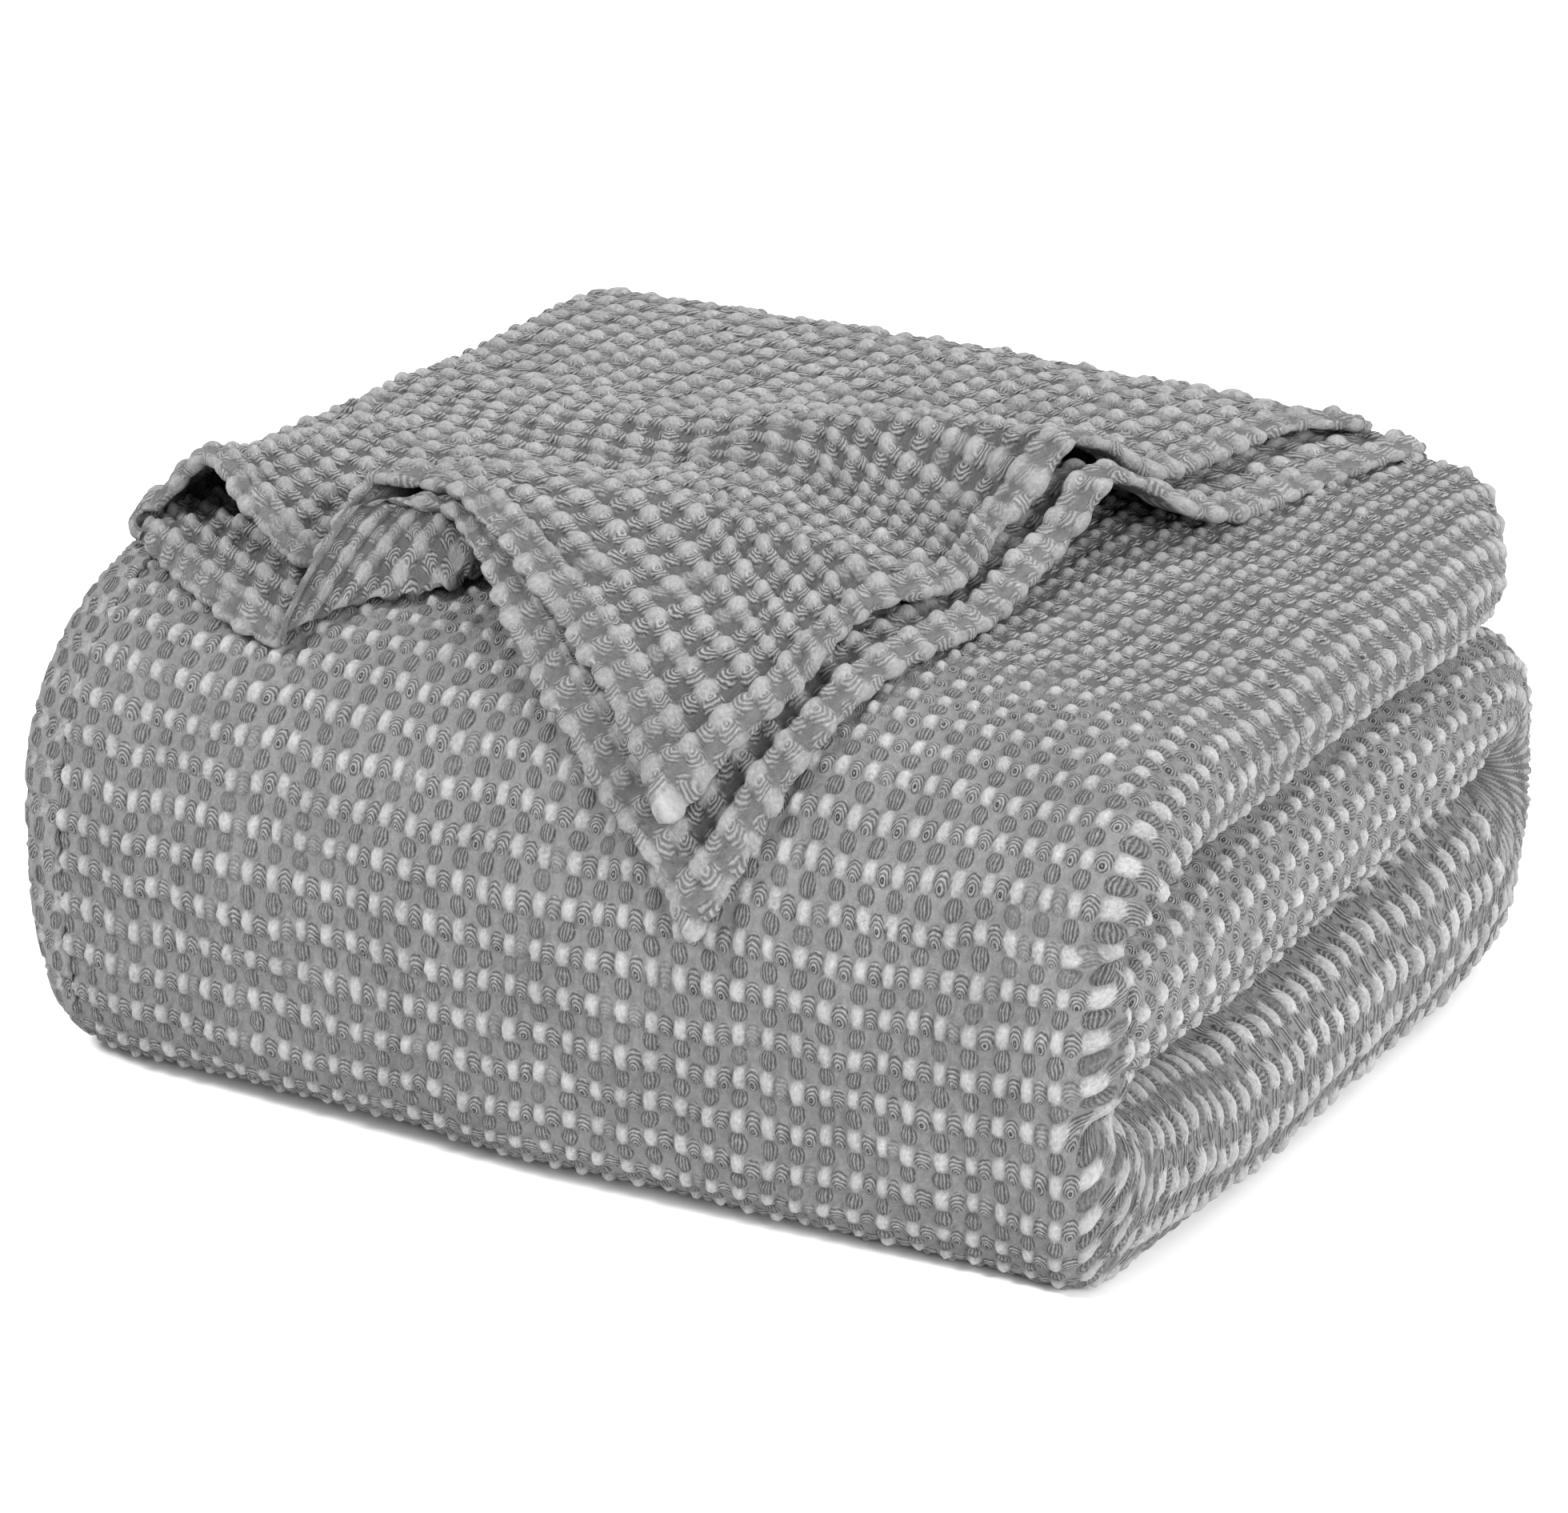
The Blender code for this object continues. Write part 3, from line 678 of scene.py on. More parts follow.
# %% Outer cloth, piece by piece
LAP = 3.0                     # pieces overlap this much where they meet
top_seam = top_start - 4.0
front_low = foot_start - 30.0
back_start, floor_start = LENGTH[first["back"]], LENGTH[first["floor"]]
lobe, inside = (LOBE_START, -1), (0, LOBE_START)

strip_cloth("front_cloth", front_low, top_seam, 400, per_cell=9.0)
strip_cloth("top_cloth", top_seam, LENGTH[-1], 380, per_cell=7.5)
strip_cloth("back_cloth", back_start - LAP, floor_start + LAP, 380)
strip_cloth("middle_lobe_cloth", 0.0, back_start, 150, lobe, nose=8)
strip_cloth("floor_lobe_cloth", floor_start, front_low + LAP, 150, lobe)
strip_cloth("floor_cloth", floor_start, front_low, 150, inside, 4.0)

# %% [markdown]
# ## The plies inside
# Seen from the left the strip shows the edges of its inner plies. They are one
# ribbon that goes back and forth, so it is drawn as a centre line in the
# thickness of the strip, given two sides, and carried along the same path.

# %% Centre line of the inner plies
INNER_ORDER = (4, 3, 2, 5, 6, 1)
CLOTH_SHARE = 0.56
STRIDES = {"middle": 6, "back": 14, "floor": 6, "front": 14, "top": 8}


def side_fold(start, end, reach, count):
    """Round side fold between two plies: reach and depth share."""
    out, along = round_side(math.pi * np.arange(1, count) / count)
    return list(zip(reach * out, (start + end) / 2.0 - (end - start) / 2.0 * along))


def inner_line():
    """Centre line of the inner plies: x and depth share."""
    depth = [1.0 - (place + 0.5) / PLIES for place in range(PLIES)]
    right_reach = {1: (6.0, 6), 3: (16.0, 10), 5: (27.0, 12)}
    left_reach = {1: (5.0, 6), 3: (18.0, 12)}
    spots = list(np.linspace(-130.0, 140.0, 10))
    line = [(LEFT_BEND_X, depth[INNER_ORDER[0]])]
    for number, place in enumerate(INNER_ORDER):
        here, goes_right = depth[place], number % 2 == 0
        line += [(x, here) for x in (spots if goes_right else spots[::-1])]
        if number + 1 == len(INNER_ORDER):
            line.append((LEFT_X + 10.0, here))
            break
        after = depth[INNER_ORDER[number + 1]]
        span = abs(INNER_ORDER[number + 1] - place)
        start = BEND_X if goes_right else LEFT_BEND_X
        reach, count = (right_reach if goes_right else left_reach)[span]
        sign = 1.0 if goes_right else -1.0
        line.append((start, here))
        line += [(start + sign * out, share)
                 for out, share in side_fold(here, after, reach, count)]
        line.append((start, after))
    return np.array(line)


print("centre line of", len(inner_line()), "points")

# %% Inner plies


def ribbon_sides(line):
    """Both sides of the ribbon round its centre line, and the way along it."""
    across = unit(np.gradient(line, axis=0) * [1.0, STRIP_THICK])
    half = CLOTH_SHARE / PLIES / 2.0
    normal = np.stack([-across[:, 1] * STRIP_THICK, across[:, 0]], axis=1) * half
    way = so_far(np.linalg.norm(np.diff(line * [1.0, STRIP_THICK], axis=0), axis=1))
    ring = np.concatenate([line + normal, (line - normal)[::-1], (line + normal)[:1]])
    middle = np.concatenate([line, line[::-1], line[:1]])
    return ring, middle, np.concatenate([way, way[::-1], way[:1]])


def inner_plies(name):
    """The ribbon of inner plies, carried along the path and closed at both ends."""
    ring, middle, way = ribbon_sides(inner_line())
    last = len(KINDS) - 1
    spots = [0, *(spot for spot, kind in enumerate(KINDS)
                  if (spot - first[kind]) % STRIDES[kind] == 0), last, last]
    rings = [middle] + [ring] * (len(spots) - 2) + [middle]
    points = np.array([strip_row(KINDS[spot], VALUES[spot], *line.T)
                       for spot, line in zip(spots, rings)])
    points[0, :, 1] -= 1.5
    points[-1, :, 1] += 1.5
    cells = np.stack(np.broadcast_arrays(way / CELL, PATH_CELLS[spots][:, None]),
                     axis=-1)
    piece = cloth_grid(name, points, wander(cells))
    bpy.ops.object.mode_set(mode="EDIT")
    bpy.ops.mesh.select_all(action="SELECT")
    bpy.ops.mesh.remove_doubles(threshold=0.00001)
    bpy.ops.mesh.normals_make_consistent(inside=False)
    bpy.ops.object.mode_set(mode="OBJECT")
    wear(piece, (way.max() * MM, LENGTH[-1] * MM))


inner_plies("inner_plies")

# %% [markdown]
# ## The two plies laid over the top
# The loose ends were drawn out, turned over the back edge and laid forward. Each
# is drawn by four lines from its loose edge back to the fold: the left end, the
# bottom of a pleat, the top of that pleat and the right hem. A point is given by
# its distance forward over the top and down the front, and its height above.

# %% Guide lines of the laid-over plies
GUIDE = "t x run lift"        # share of the way back, place, forward, height
LOWER_LEFT = table(
    GUIDE,
    (0.0, -188, 304, 3.6), (0.5, -195, 150, 3.4), (1.0, -197, 0, 3.0))
LOWER_TROUGH = table(
    GUIDE,
    (0.0, -107, 336, 3.6), (0.09, -87, 314, 3.2), (0.17, -62, 296, 3.0),
    (0.3, -58, 252, 3.0), (0.5, -52, 190, 3.0), (1.0, -70, 0, 3.0))
LOWER_RIDGE = table(
    GUIDE,
    (0.0, -99, 292, 23.5), (0.09, -77, 277, 21.0), (0.17, -58, 268, 17.0),
    (0.3, -36, 240, 9.0), (0.5, -20, 184, 3.0), (1.0, -40, 0, 3.0))
LOWER_RIGHT = table(
    GUIDE,
    (0.0, 71, 392, 3.6), (0.04, 80, 377, 3.6), (0.16, 95, 330, 4.6),
    (0.25, 102, 292, 4.8), (0.36, 109, 250, 5.0), (0.5, 104, 192, 11.0),
    (0.57, 106, 166, 15.0), (0.63, 114, 146, 10.0), (0.67, 126, 130, 3.6),
    (0.85, 137, 62, 3.6), (1.0, 149, 0, 3.0))
UPPER_LEFT = table(
    GUIDE,
    (0.0, -189, 292, 9.6), (0.5, -194, 148, 8.6), (1.0, -196, 0, 8.0))
UPPER_TROUGH = table(
    GUIDE,
    (0.0, -112, 309, 9.8), (0.09, -104, 284, 9.4), (0.25, -80, 225, 8.6),
    (0.5, -60, 150, 8.2), (1.0, -70, 0, 8.0))
UPPER_RIDGE = table(
    GUIDE,
    (0.0, -101, 283, 29.5), (0.09, -88, 259, 27.0), (0.25, -52, 205, 14.0),
    (0.5, -30, 142, 8.2), (1.0, -40, 0, 8.0))
UPPER_RIGHT = table(
    GUIDE,
    (0.0, 59, 360, 9.6), (0.04, 68, 348, 9.6), (0.16, 83, 310, 9.8),
    (0.25, 81, 278, 10.0), (0.36, 94, 238, 12.0), (0.5, 85, 190, 18.5),
    (0.57, 88, 160, 23.0), (0.63, 97, 140, 19.0), (0.7, 101, 112, 10.5),
    (0.85, 106, 60, 11.0), (0.94, 112, 25, 10.0), (1.0, 128, 7, 7.6))
LOWER_EDGE = table(
    "at run lift",
    (0.0, 0, 0.0), (0.18, 3, 1.0), (0.42, 2, 0.0), (0.6, 0, 0.0), (0.72, -22, 2.0),
    (0.86, -12, -4.0), (1.0, 0, 0.0))
UPPER_EDGE = table(
    "at run lift",
    (0.0, 0, 0.0), (0.1, -12, 17.0), (0.24, -4, 11.0), (0.4, 0, 0.0), (0.6, 0, 0.0),
    (0.72, -14, 0.0), (0.86, -12, -5.0), (1.0, 0, 0.0))
GUIDE_PLACES = (0.0, 0.42, 0.6, 1.0)
PLY_REST = 5.6                # clear height over the ply below
PLY_STEPS = 270               # rows of points from the loose edge to the fold
print("guides of two plies, with", len(LOWER_RIGHT), "and", len(UPPER_RIGHT),
      "points on their right hems")

# %% [markdown]
# Between the guides a ply is filled in row by row, first as if laid flat: its place,
# its distance forward and its height. Two low ridges cross both plies. The upper ply
# is then lifted clear of the lower one, and both are draped over the top and the
# front by walking that distance along the strip.

# %% Rows of a ply laid flat
NEAR_RIDGE, NEAR_HIGH = 246.0, 7.0     # distance forward and height
FAR_RIDGE, FAR_HIGH = 143.0, 15.0


def soft_ridges(x, run):
    """Two long soft ridges that cross the laid-over plies."""
    near = NEAR_RIDGE + 0.0016 * (x - 10.0) ** 2
    far = FAR_RIDGE + 0.0011 * (x - 10.0) ** 2
    near_height = NEAR_HIGH * fade(x, -90.0, -30.0) * fade(-x, -110.0, -40.0)
    far_height = FAR_HIGH * fade(x, -150.0, 30.0)
    behind = np.where(run < far, 36.0, 17.0)
    return near_height * np.exp(-((run - near) / 19.0) ** 2) \
        + far_height * np.exp(-((run - far) / behind) ** 2)


def ply_row(guides, edge, across, t):
    """One row of a ply laid flat: x, distance forward, height."""
    spots = [{"at": at, **{name: float(flow(rows, "t", name, t))
                           for name in ("x", "run", "lift")}}
             for at, rows in zip(GUIDE_PLACES, guides)]
    x, run, lift = (flow(spots, "at", name, across) for name in ("x", "run", "lift"))
    loose = (1.0 - t) ** 3
    run = run + flow(edge, "at", "run", across) * loose
    lift = lift + flow(edge, "at", "lift", across) * loose
    return x, run, lift + soft_ridges(x, run) * min(t / 0.2, 1.0)


print("top of the far ridge, mm:", soft_ridges(60.0, 146.0).round(1))

# %% Drape over the strip


def drape(x, run, lift):
    """Points a given distance forward over the top and down the front."""
    top_y = np.linspace(TURN_Y, FRONT_FOLD_Y, 50)
    top_y = np.broadcast_to(top_y, (len(x), 50))
    level = TOP_Z * (1.0 - np.linspace(0.0, 1.0, 130)[1:] ** 2 * 0.9)
    front_y = outer_front(x[:, None], np.broadcast_to(level, (len(x), 129)))
    y = np.concatenate([top_y, front_y], axis=1)
    z = np.concatenate([TOP_Z + swell(x[:, None], top_y),
                        level + swell(x[:, None], front_y) * level / TOP_Z], axis=1)
    slope_y, slope_z = np.gradient(y, axis=1), np.gradient(z, axis=1)
    size = np.maximum(np.hypot(slope_y, slope_z), 1e-9)
    slope_y, slope_z = slope_y / size, slope_z / size
    steps = np.hypot(np.diff(y, axis=1), np.diff(z, axis=1))
    gone = np.concatenate([np.zeros((len(x), 1)), np.cumsum(steps, axis=1)], axis=1)
    result = np.empty((len(x), 3))
    for spot in range(len(x)):
        reads = [np.interp(run[spot], gone[spot], line[spot])
                 for line in (y, z, slope_y, slope_z)]
        result[spot] = (x[spot], reads[0] + reads[3] * lift[spot],
                        reads[1] - reads[2] * lift[spot])
    return result


print("100 mm forward:", drape(np.zeros(1), [100.0], [0.0])[0].round(1))

# %% Even columns and the ply below


def even_columns(guides, edge, count):
    """Places across the ply that come out evenly spaced on the cloth."""
    dense = np.linspace(0.0, 1.0, 400)
    total = np.zeros(400)
    for t in (0.02, 0.15, 0.4, 0.7):
        spots = np.stack(ply_row(guides, edge, dense, t))
        steps = np.linalg.norm(np.diff(spots, axis=1), axis=0)
        total[1:] += np.cumsum(steps)
    return np.interp(np.linspace(0.0, total[-1], count), total, dense)


def flat_tree(rows):
    """The ply below, laid flat, as a surface to rest on."""
    wide = rows.shape[1]
    faces = [(row * wide + column, row * wide + column + 1,
              row * wide + wide + column + 1, row * wide + wide + column)
             for row in range(len(rows) - 1) for column in range(wide - 1)]
    return BVHTree.FromPolygons(rows.reshape(-1, 3).tolist(), faces)


def rest_on(rows, below):
    """Lift a ply softly clear of the one below."""
    tree = flat_tree(below)
    for row in rows:
        for spot in row:
            hit = tree.ray_cast((spot[0], spot[1], 90.0), (0.0, 0.0, -1.0))[0]
            if hit is not None:
                gap = spot[2] - hit.z - PLY_REST
                spot[2] += (abs(gap) * (gap < 0.0) + 1.5 * math.exp(-abs(gap) / 1.5))
    return rows


def laid_rows(guides, edge, columns, below=None):
    """The whole ply laid flat, from the loose edge to the back fold."""
    places = even_columns(guides, edge, columns)
    rows = np.array([np.stack(ply_row(guides, edge, places, t), axis=-1)
                     for t in np.linspace(0.0, 1.0, PLY_STEPS)])
    return rows if below is None else rest_on(rows, below)


print("ply of", PLY_STEPS, "rows, held", PLY_REST, "mm over the one below")

# %% [markdown]
# ## Hems
# The edge of the blanket is turned in twice and stitched down. That makes a band
# as wide as a finger, puffed between its stitches, with a groove where the seam
# runs. The roll of the edge is part of the sheet: its last line is carried round
# and back under, and the waffle goes round with it.

# %% Rolled edge of a hem
HEM_WIDE = 12.5
HEM_ROLL = 1.8
HEM_RAISE = 1.7
ROLL_ANGLES = np.radians([30.0, 60.0, 90.0, 120.0, 150.0, 180.0])
ROLL_LINES = 10               # lines that a roll adds: six round it, four under
PLY_CELL, PLY_ROWS, PLY_FULL = 13.0, 27.0, 0.5    # cell, rows of cells, stretch


def rolled(base, up, face, depth, axis, under):
    """Turn the last line of a grid round and back under, as a folded edge.
    up stays the way up of the cloth, face turns with the roll."""
    base, up, face, depth = (np.moveaxis(item, axis, 0)
                             for item in (base, up, face, depth))
    way = unit(base[-1] - base[-3])
    turns = [(HEM_ROLL * math.sin(a), HEM_ROLL * (1.0 - math.cos(a)), a)
             for a in ROLL_ANGLES]
    turns += [(-inward, 2.0 * HEM_ROLL, math.pi) for inward in under]
    lines, faces, depths = [], [], []
    for out, drop, angle in turns:
        more = np.maximum(drop - depth[-1], 0.0)[..., None]
        lines.append(base[-1] + way * out - up[-1] * more)
        faces.append(max(math.cos(angle), 0.0) * face[-1] + math.sin(angle) * way
                     - max(-math.cos(angle), 0.0) * up[-1])
        depths.append(np.maximum(drop, depth[-1]))
    ups = np.repeat(up[-1:], len(turns), axis=0)
    grown = [np.concatenate([item, np.array(more)]) for item, more in
             ((base, lines), (up, ups), (face, faces), (depth, depths))]
    return [np.moveaxis(item, 0, axis) for item in grown]


print("hem", HEM_WIDE, "mm wide, edge", 2 * HEM_ROLL, "mm thick")

# %% Back turn and hem band


def back_turn(flat, base, depth):
    """Rows that turn down behind the back edge into the strip."""
    x, run = flat[-1, :, 0], flat[-1, :, 1]
    high = base[-1, :, 2]
    low = TOP_Z + swell(x, 168.0) - depth
    inside = np.maximum(x, LEFT_X + 24.0)
    rows = []
    for angle in np.linspace(12.0, 180.0, 15):
        bend = math.radians(angle)
        rows.append(np.stack([
            x + (inside - x) * angle / 180.0,
            TURN_Y - run + (high - low) / 2.0 * math.sin(bend),
            (high + low) / 2.0 + (high - low) / 2.0 * math.cos(bend)], axis=-1))
    for y in (166.0, 161.0, 156.0):
        rows.append(np.stack([inside, np.full_like(x, y), low], axis=-1))
    return np.array(rows)


def band(distance):
    """Raised double-turned hem with a groove where it is stitched down."""
    rise = fade(distance, -1.0, 3.0) * (1.0 - fade(distance, HEM_WIDE - 2.0,
                                                   HEM_WIDE + 1.0))
    return HEM_RAISE * rise - np.exp(-((distance - HEM_WIDE) / 1.3) ** 2)


print("hem band", band(6.0).round(1), "mm up, its stitched groove", band(12.5).round(1))

# %% [markdown]
# The two plies are one cloth folded at the left, so the upper one has extra columns
# that carry it round that fold. The corner is puffed where the two hems cross, and
# where the pleat turns the cloth over, its relief is turned over too.

# %% Surface of a ply


def ply_surface(flat, depth):
    """Draped points of a ply with the turn that takes it down behind."""
    top = np.array([drape(*row.T) for row in flat])
    return np.concatenate([top, back_turn(flat, top, depth)])


def left_fold(upper, lower, count):
    """Columns that carry the upper ply round its left fold to the lower one."""
    first_line, last_line = upper[:, 0], lower[:, 0] + [2.0, 0.0, -2.5]
    middle, half = (first_line + last_line) / 2.0, (first_line - last_line) / 2.0
    radius = np.linalg.norm(half, axis=1, keepdims=True)
    out = np.array([-1.0, 0.0, 0.0])
    lines = [middle + half * math.cos(turn) + out * radius * math.sin(turn)
             for turn in np.linspace(math.pi, 0.0, count, endpoint=False)]
    return np.concatenate([np.stack(lines, axis=1), upper], axis=1)


def turned_share(guides, edge, columns, base):
    """Where the underside of the pleat faces out: 1 there, 0 elsewhere."""
    places = even_columns(guides, edge, columns)
    forward = running(base, 0)
    across = fade(places, 0.40, 0.46) * (1.0 - fade(places, 0.60, 0.66))
    return across * (1.0 - fade(forward, 34.0, 66.0))


LOWER = (LOWER_LEFT, LOWER_TROUGH, LOWER_RIDGE, LOWER_RIGHT)
UPPER = (UPPER_LEFT, UPPER_TROUGH, UPPER_RIDGE, UPPER_RIGHT)
lower_flat = laid_rows(LOWER, LOWER_EDGE, 240)
upper_flat = laid_rows(UPPER, UPPER_EDGE, 280, lower_flat[::3, ::3])
lower_base, upper_base = ply_surface(lower_flat, 3.0), ply_surface(upper_flat, 9.0)
print("plies draped down to z", *(base[..., 2].min().round(1)
                                  for base in (lower_base, upper_base)))

# %% Relief and build of a ply


def ply_relief(cells, u, v, front, right, knob):
    """Height of the cloth of a ply and its share of hem, from the distances to
    its front and right edges. The knob is the height and reach of its corner."""
    edge = np.minimum(front, right)
    hem = 1.0 - fade(edge, HEM_WIDE - 2.0, HEM_WIDE + 1.0)
    along = np.where(front < right, cells[..., 0], cells[..., 1])
    rope = abs(np.sin(math.pi * 1.25 * along)) ** 0.7
    tight = 1.0 - fade(edge, 0.5, 6.0)
    height = PLY_RELIEF * (waffle_height(cells, PLY_FULL, 1.0) - SINK)
    height = height * (1.0 - 0.55 * tight) + band(edge) + 2.4 * tight * (rope - 0.6)
    height = height + 0.8 * soft_noise(u, v, 4.5, 33) + 1.2 * hem * soft_noise(
        u, v, 1.3, 35)
    height = height + knob[0] * np.exp(-(front ** 2 + right ** 2) / knob[1] ** 2)
    corner = 1.0 - fade(np.maximum(front, right), HEM_WIDE, HEM_WIDE + 3.0)
    for distance in (front, right):
        height = height - corner * np.exp(-((distance - HEM_WIDE) / 1.2) ** 2)
    return height, hem


def build_ply(name, base, first_cell, knob, turned=None, fold=0):
    """Cloth of one laid-over ply. Its relief is turned over where the pleat is,
    and over the first fold columns, round the left fold, it fades out below."""
    from_right = running(base[:, ::-1], 1)[:, ::-1]
    from_front = running(base, 0)
    u = first_cell - from_right / PLY_CELL
    behind = np.arange(1, len(base) - PLY_STEPS + 1)
    v = np.concatenate([np.linspace(0.0, 1.0, PLY_STEPS) * PLY_ROWS,
                        PLY_ROWS + behind * 0.25])
    v = np.broadcast_to(v[:, None], u.shape)
    up = outward(base)
    grown = rolled(base, up, up, np.zeros(base.shape[:2]), 1,
                   (2.0, 5.0, 8.0, HEM_WIDE - 1.0))
    grown = [item[::-1] for item in grown]
    grown = rolled(*grown, 0, (0.4, 0.8, 1.2, 1.6))
    base, up, face, depths = (item[::-1] for item in grown)

    def spread(values):
        return np.pad(values, ((ROLL_LINES, 0), (0, ROLL_LINES)), mode="edge")

    roll = np.arange(1, ROLL_LINES + 1) / ROLL_LINES
    u, v = spread(u), spread(v)
    u[:, -ROLL_LINES:] += roll
    v[:ROLL_LINES] -= roll[::-1, None]
    cells = wander(np.stack([u, v], axis=-1))
    height, hem = ply_relief(cells, u, v, spread(from_front), spread(from_right),
                             knob)
    if turned is not None:
        height = height * (1.0 - 1.6 * spread(turned))
    if fold:
        height = height * fade(np.arange(height.shape[1]), 0.0, fold)
    bare = np.clip(1.2 - 0.4 * depths / HEM_ROLL, 0.3, 1.0)
    points = base + face * (height * bare)[..., None]
    place = np.stack([np.full_like(hem, PLY_FULL), 0.5 + 0.5 * hem], axis=-1)
    flat = (np.mean(from_right[:, 0]) * MM, np.mean(from_front[-1]) * MM)
    wear(cloth_grid(name, points, cells, place), flat)


build_ply("lower_ply", lower_base, 28.0, (3.0, 9.5),
          turned_share(LOWER, LOWER_EDGE, 240, lower_base))
build_ply("upper_ply", left_fold(upper_base, lower_base, 14), 26.0, (5.5, 13.0),
          fold=12)

# %% [markdown]
# ## The finish
# One cotton yarn makes the whole cloth, so the pads, floats and patches differ
# less in colour than in how they catch light: pads are brushed and pale, the
# floats are separate threads with dark gaps, and the plain patch lies in shade.
# Some of that shade is painted into the colour below, at the rims of the blocks,
# below the pads, on the stretched lobes and on loose cloth.
# The masks are worked out from the cloth's maps, as sums on shader values. A small
# class lets those sums be written as ordinary Python.

# %% Shader value


class Value:
    """A shader socket that adds Math nodes when Python maths is done on it."""

    def __init__(self, tree, socket):
        self.tree, self.socket = tree, socket

    def node(self, kind, settings=None, **inputs):
        """Any node: its type, its settings, then its sockets by name or number."""
        made = self.tree.nodes.new(kind)
        for name, setting in (settings or {}).items():
            setattr(made, name, setting)
        for name, given in inputs.items():
            key = int(name[1:]) if name[1:].isdigit() else name
            if isinstance(given, Value):
                self.tree.links.new(given.socket, made.inputs[key])
            else:
                made.inputs[key].default_value = given
        return Value(self.tree, made.outputs[0])

    def math(self, operation, first, second=0.0):
        return self.node("ShaderNodeMath", {"operation": operation},
                         i0=first, i1=second)

    def __rsub__(self, other):
        return self.math("SUBTRACT", other, self)

    def mixed(self, other, amount):
        """This value where amount is 0, the other where it is 1."""
        return self + (other - self) * amount

    def soft(self, low, high):
        return self.node("ShaderNodeMapRange", {"interpolation_type": "SMOOTHSTEP"},
                         i0=self, i1=low, i2=high)


print("shader value ready")

# %% Sums on shader values


def one_sum(operation):
    """A method of Value that adds one Math node."""
    return lambda first, second=0.0: first.math(operation, first, second)


SUMS = {"__add__": "ADD", "__radd__": "ADD", "__sub__": "SUBTRACT",
        "__mul__": "MULTIPLY", "__rmul__": "MULTIPLY", "__truediv__": "DIVIDE",
        "__abs__": "ABSOLUTE", "part": "FRACT", "whole": "FLOOR", "wave": "COSINE",
        "power": "POWER", "most": "MAXIMUM"}
for name, operation in SUMS.items():
    setattr(Value, name, one_sum(operation))
print(len(SUMS), "sums on shader values")

# %% [markdown]
# The material has to know where a point lies on the weave. Of a cell position, the
# whole part picks a chance for each cell and the fraction is the place in it. The
# map "place" tells tight, loose and hemmed cloth apart. The fuzz of washed cotton is
# a few noises on the same map, so that nothing slides over the cloth.

# %% What the maps say


def two_numbers(start, map_name):
    """One of the cloth's maps, and both of its numbers."""
    spot = start.node("ShaderNodeUVMap", {"uv_map": map_name})
    split = start.node("ShaderNodeSeparateXYZ", Vector=spot)
    return spot, split, Value(start.tree, split.socket.node.outputs[1])


def cloth_facts(start):
    """What the maps and the noises say about one point of the cloth."""
    weave, u, v = two_numbers(start, "weave")
    _, stretch, kind = two_numbers(start, "place")
    kind = 2.0 * kind
    cell = start.node("ShaderNodeCombineXYZ", X=u.whole(), Y=v.whole())
    chance = start.node("ShaderNodeTexWhiteNoise", {"noise_dimensions": "2D"},
                        Vector=cell)

    def speckle(scale, detail, rough):
        return start.node("ShaderNodeTexNoise", {"noise_dimensions": "2D"},
                          Vector=weave, Scale=scale, Detail=detail,
                          Roughness=rough) - 0.5

    loose = kind.soft(0.0, 1.0)
    return SimpleNamespace(
        u=u, v=v, cell_u=u.part(), cell_v=v.part(), stretch=stretch, loose=loose,
        hem=kind.soft(1.0, 2.0), wider=1.0 + WIDEN * stretch,
        grown=1.0 + PLUMP * loose, chance=chance, other=(chance * 7.31).part(),
        fuzz=speckle(11.0, 6.0, 0.8), ripple=speckle(2.6, 2.0, 0.6),
        cloud=speckle(0.35, 2.0, 0.5), fluff=speckle(4.5, 5.0, 0.75))


def dome(cloth, shape, power, grown=1.0):
    """Shader form of one block: 1 in its middle, 0 at its rim."""
    across = abs((cloth.cell_u + (1.5 - shape["u"])).part() - 0.5) \
        / (shape["wide"] * cloth.wider * grown)
    up = abs((cloth.cell_v + (1.5 - shape["v"])).part() - 0.5) \
        / (shape["tall"] * grown)
    return (1.0 - across.power(power) - up.power(power)).most(0.0)


print("maps read: weave and place")

# %% [markdown]
# A float is a handful of separate threads. On tight cloth the warp threads stand
# upright and bow apart like the staves of a barrel, and the weft threads arch over
# a small dark eye. Where the cloth lies loose, both hang in loops round the pad
# that they come from. Each set of lines is a wave on a distance.

# %% Threads of the floats
WARP_THREADS, WEFT_THREADS, LOOP_THREADS = 17.0, 23.0, 56.0    # radians of wave
LOOP_AWAY = 0.30              # the loops hang round this spot beside a pad
LOOP_START = 0.1              # a cell's loops begin this far outside it


def lines_of(waves, clear):
    """Light threads and dark gaps, less clear in some cells."""
    return 0.5 + 0.5 * clear * waves.wave()


def loops(cloth, clear, across, up):
    """Loops of thread round a spot a little beside a pad or below it."""
    side = (cloth.cell_u + (1.0 - LOOP_START)).part() \
        - (PAD["u"] - LOOP_START + across)
    rise = (cloth.cell_v + LOOP_START).part() - (PAD["v"] + LOOP_START - up)
    ring = (side * side + rise * rise).power(0.5) + 0.16 * cloth.ripple
    return lines_of(ring * LOOP_THREADS, clear)


def warp_threads(cloth, clear):
    """Upright threads, bowed like staves."""
    rise = (cloth.cell_v - WARP["v"]) / WARP["tall"]
    barrel = (1.0 - 0.9 * rise * rise).most(0.08).power(0.5)
    side = (cloth.cell_u - WARP["u"]) / (WARP["wide"] * barrel)
    lines = lines_of(side * WARP_THREADS + 3.0 * cloth.chance + 9.0 * cloth.ripple,
                     clear)
    return lines.mixed(loops(cloth, clear, 0.0, LOOP_AWAY), cloth.loose)


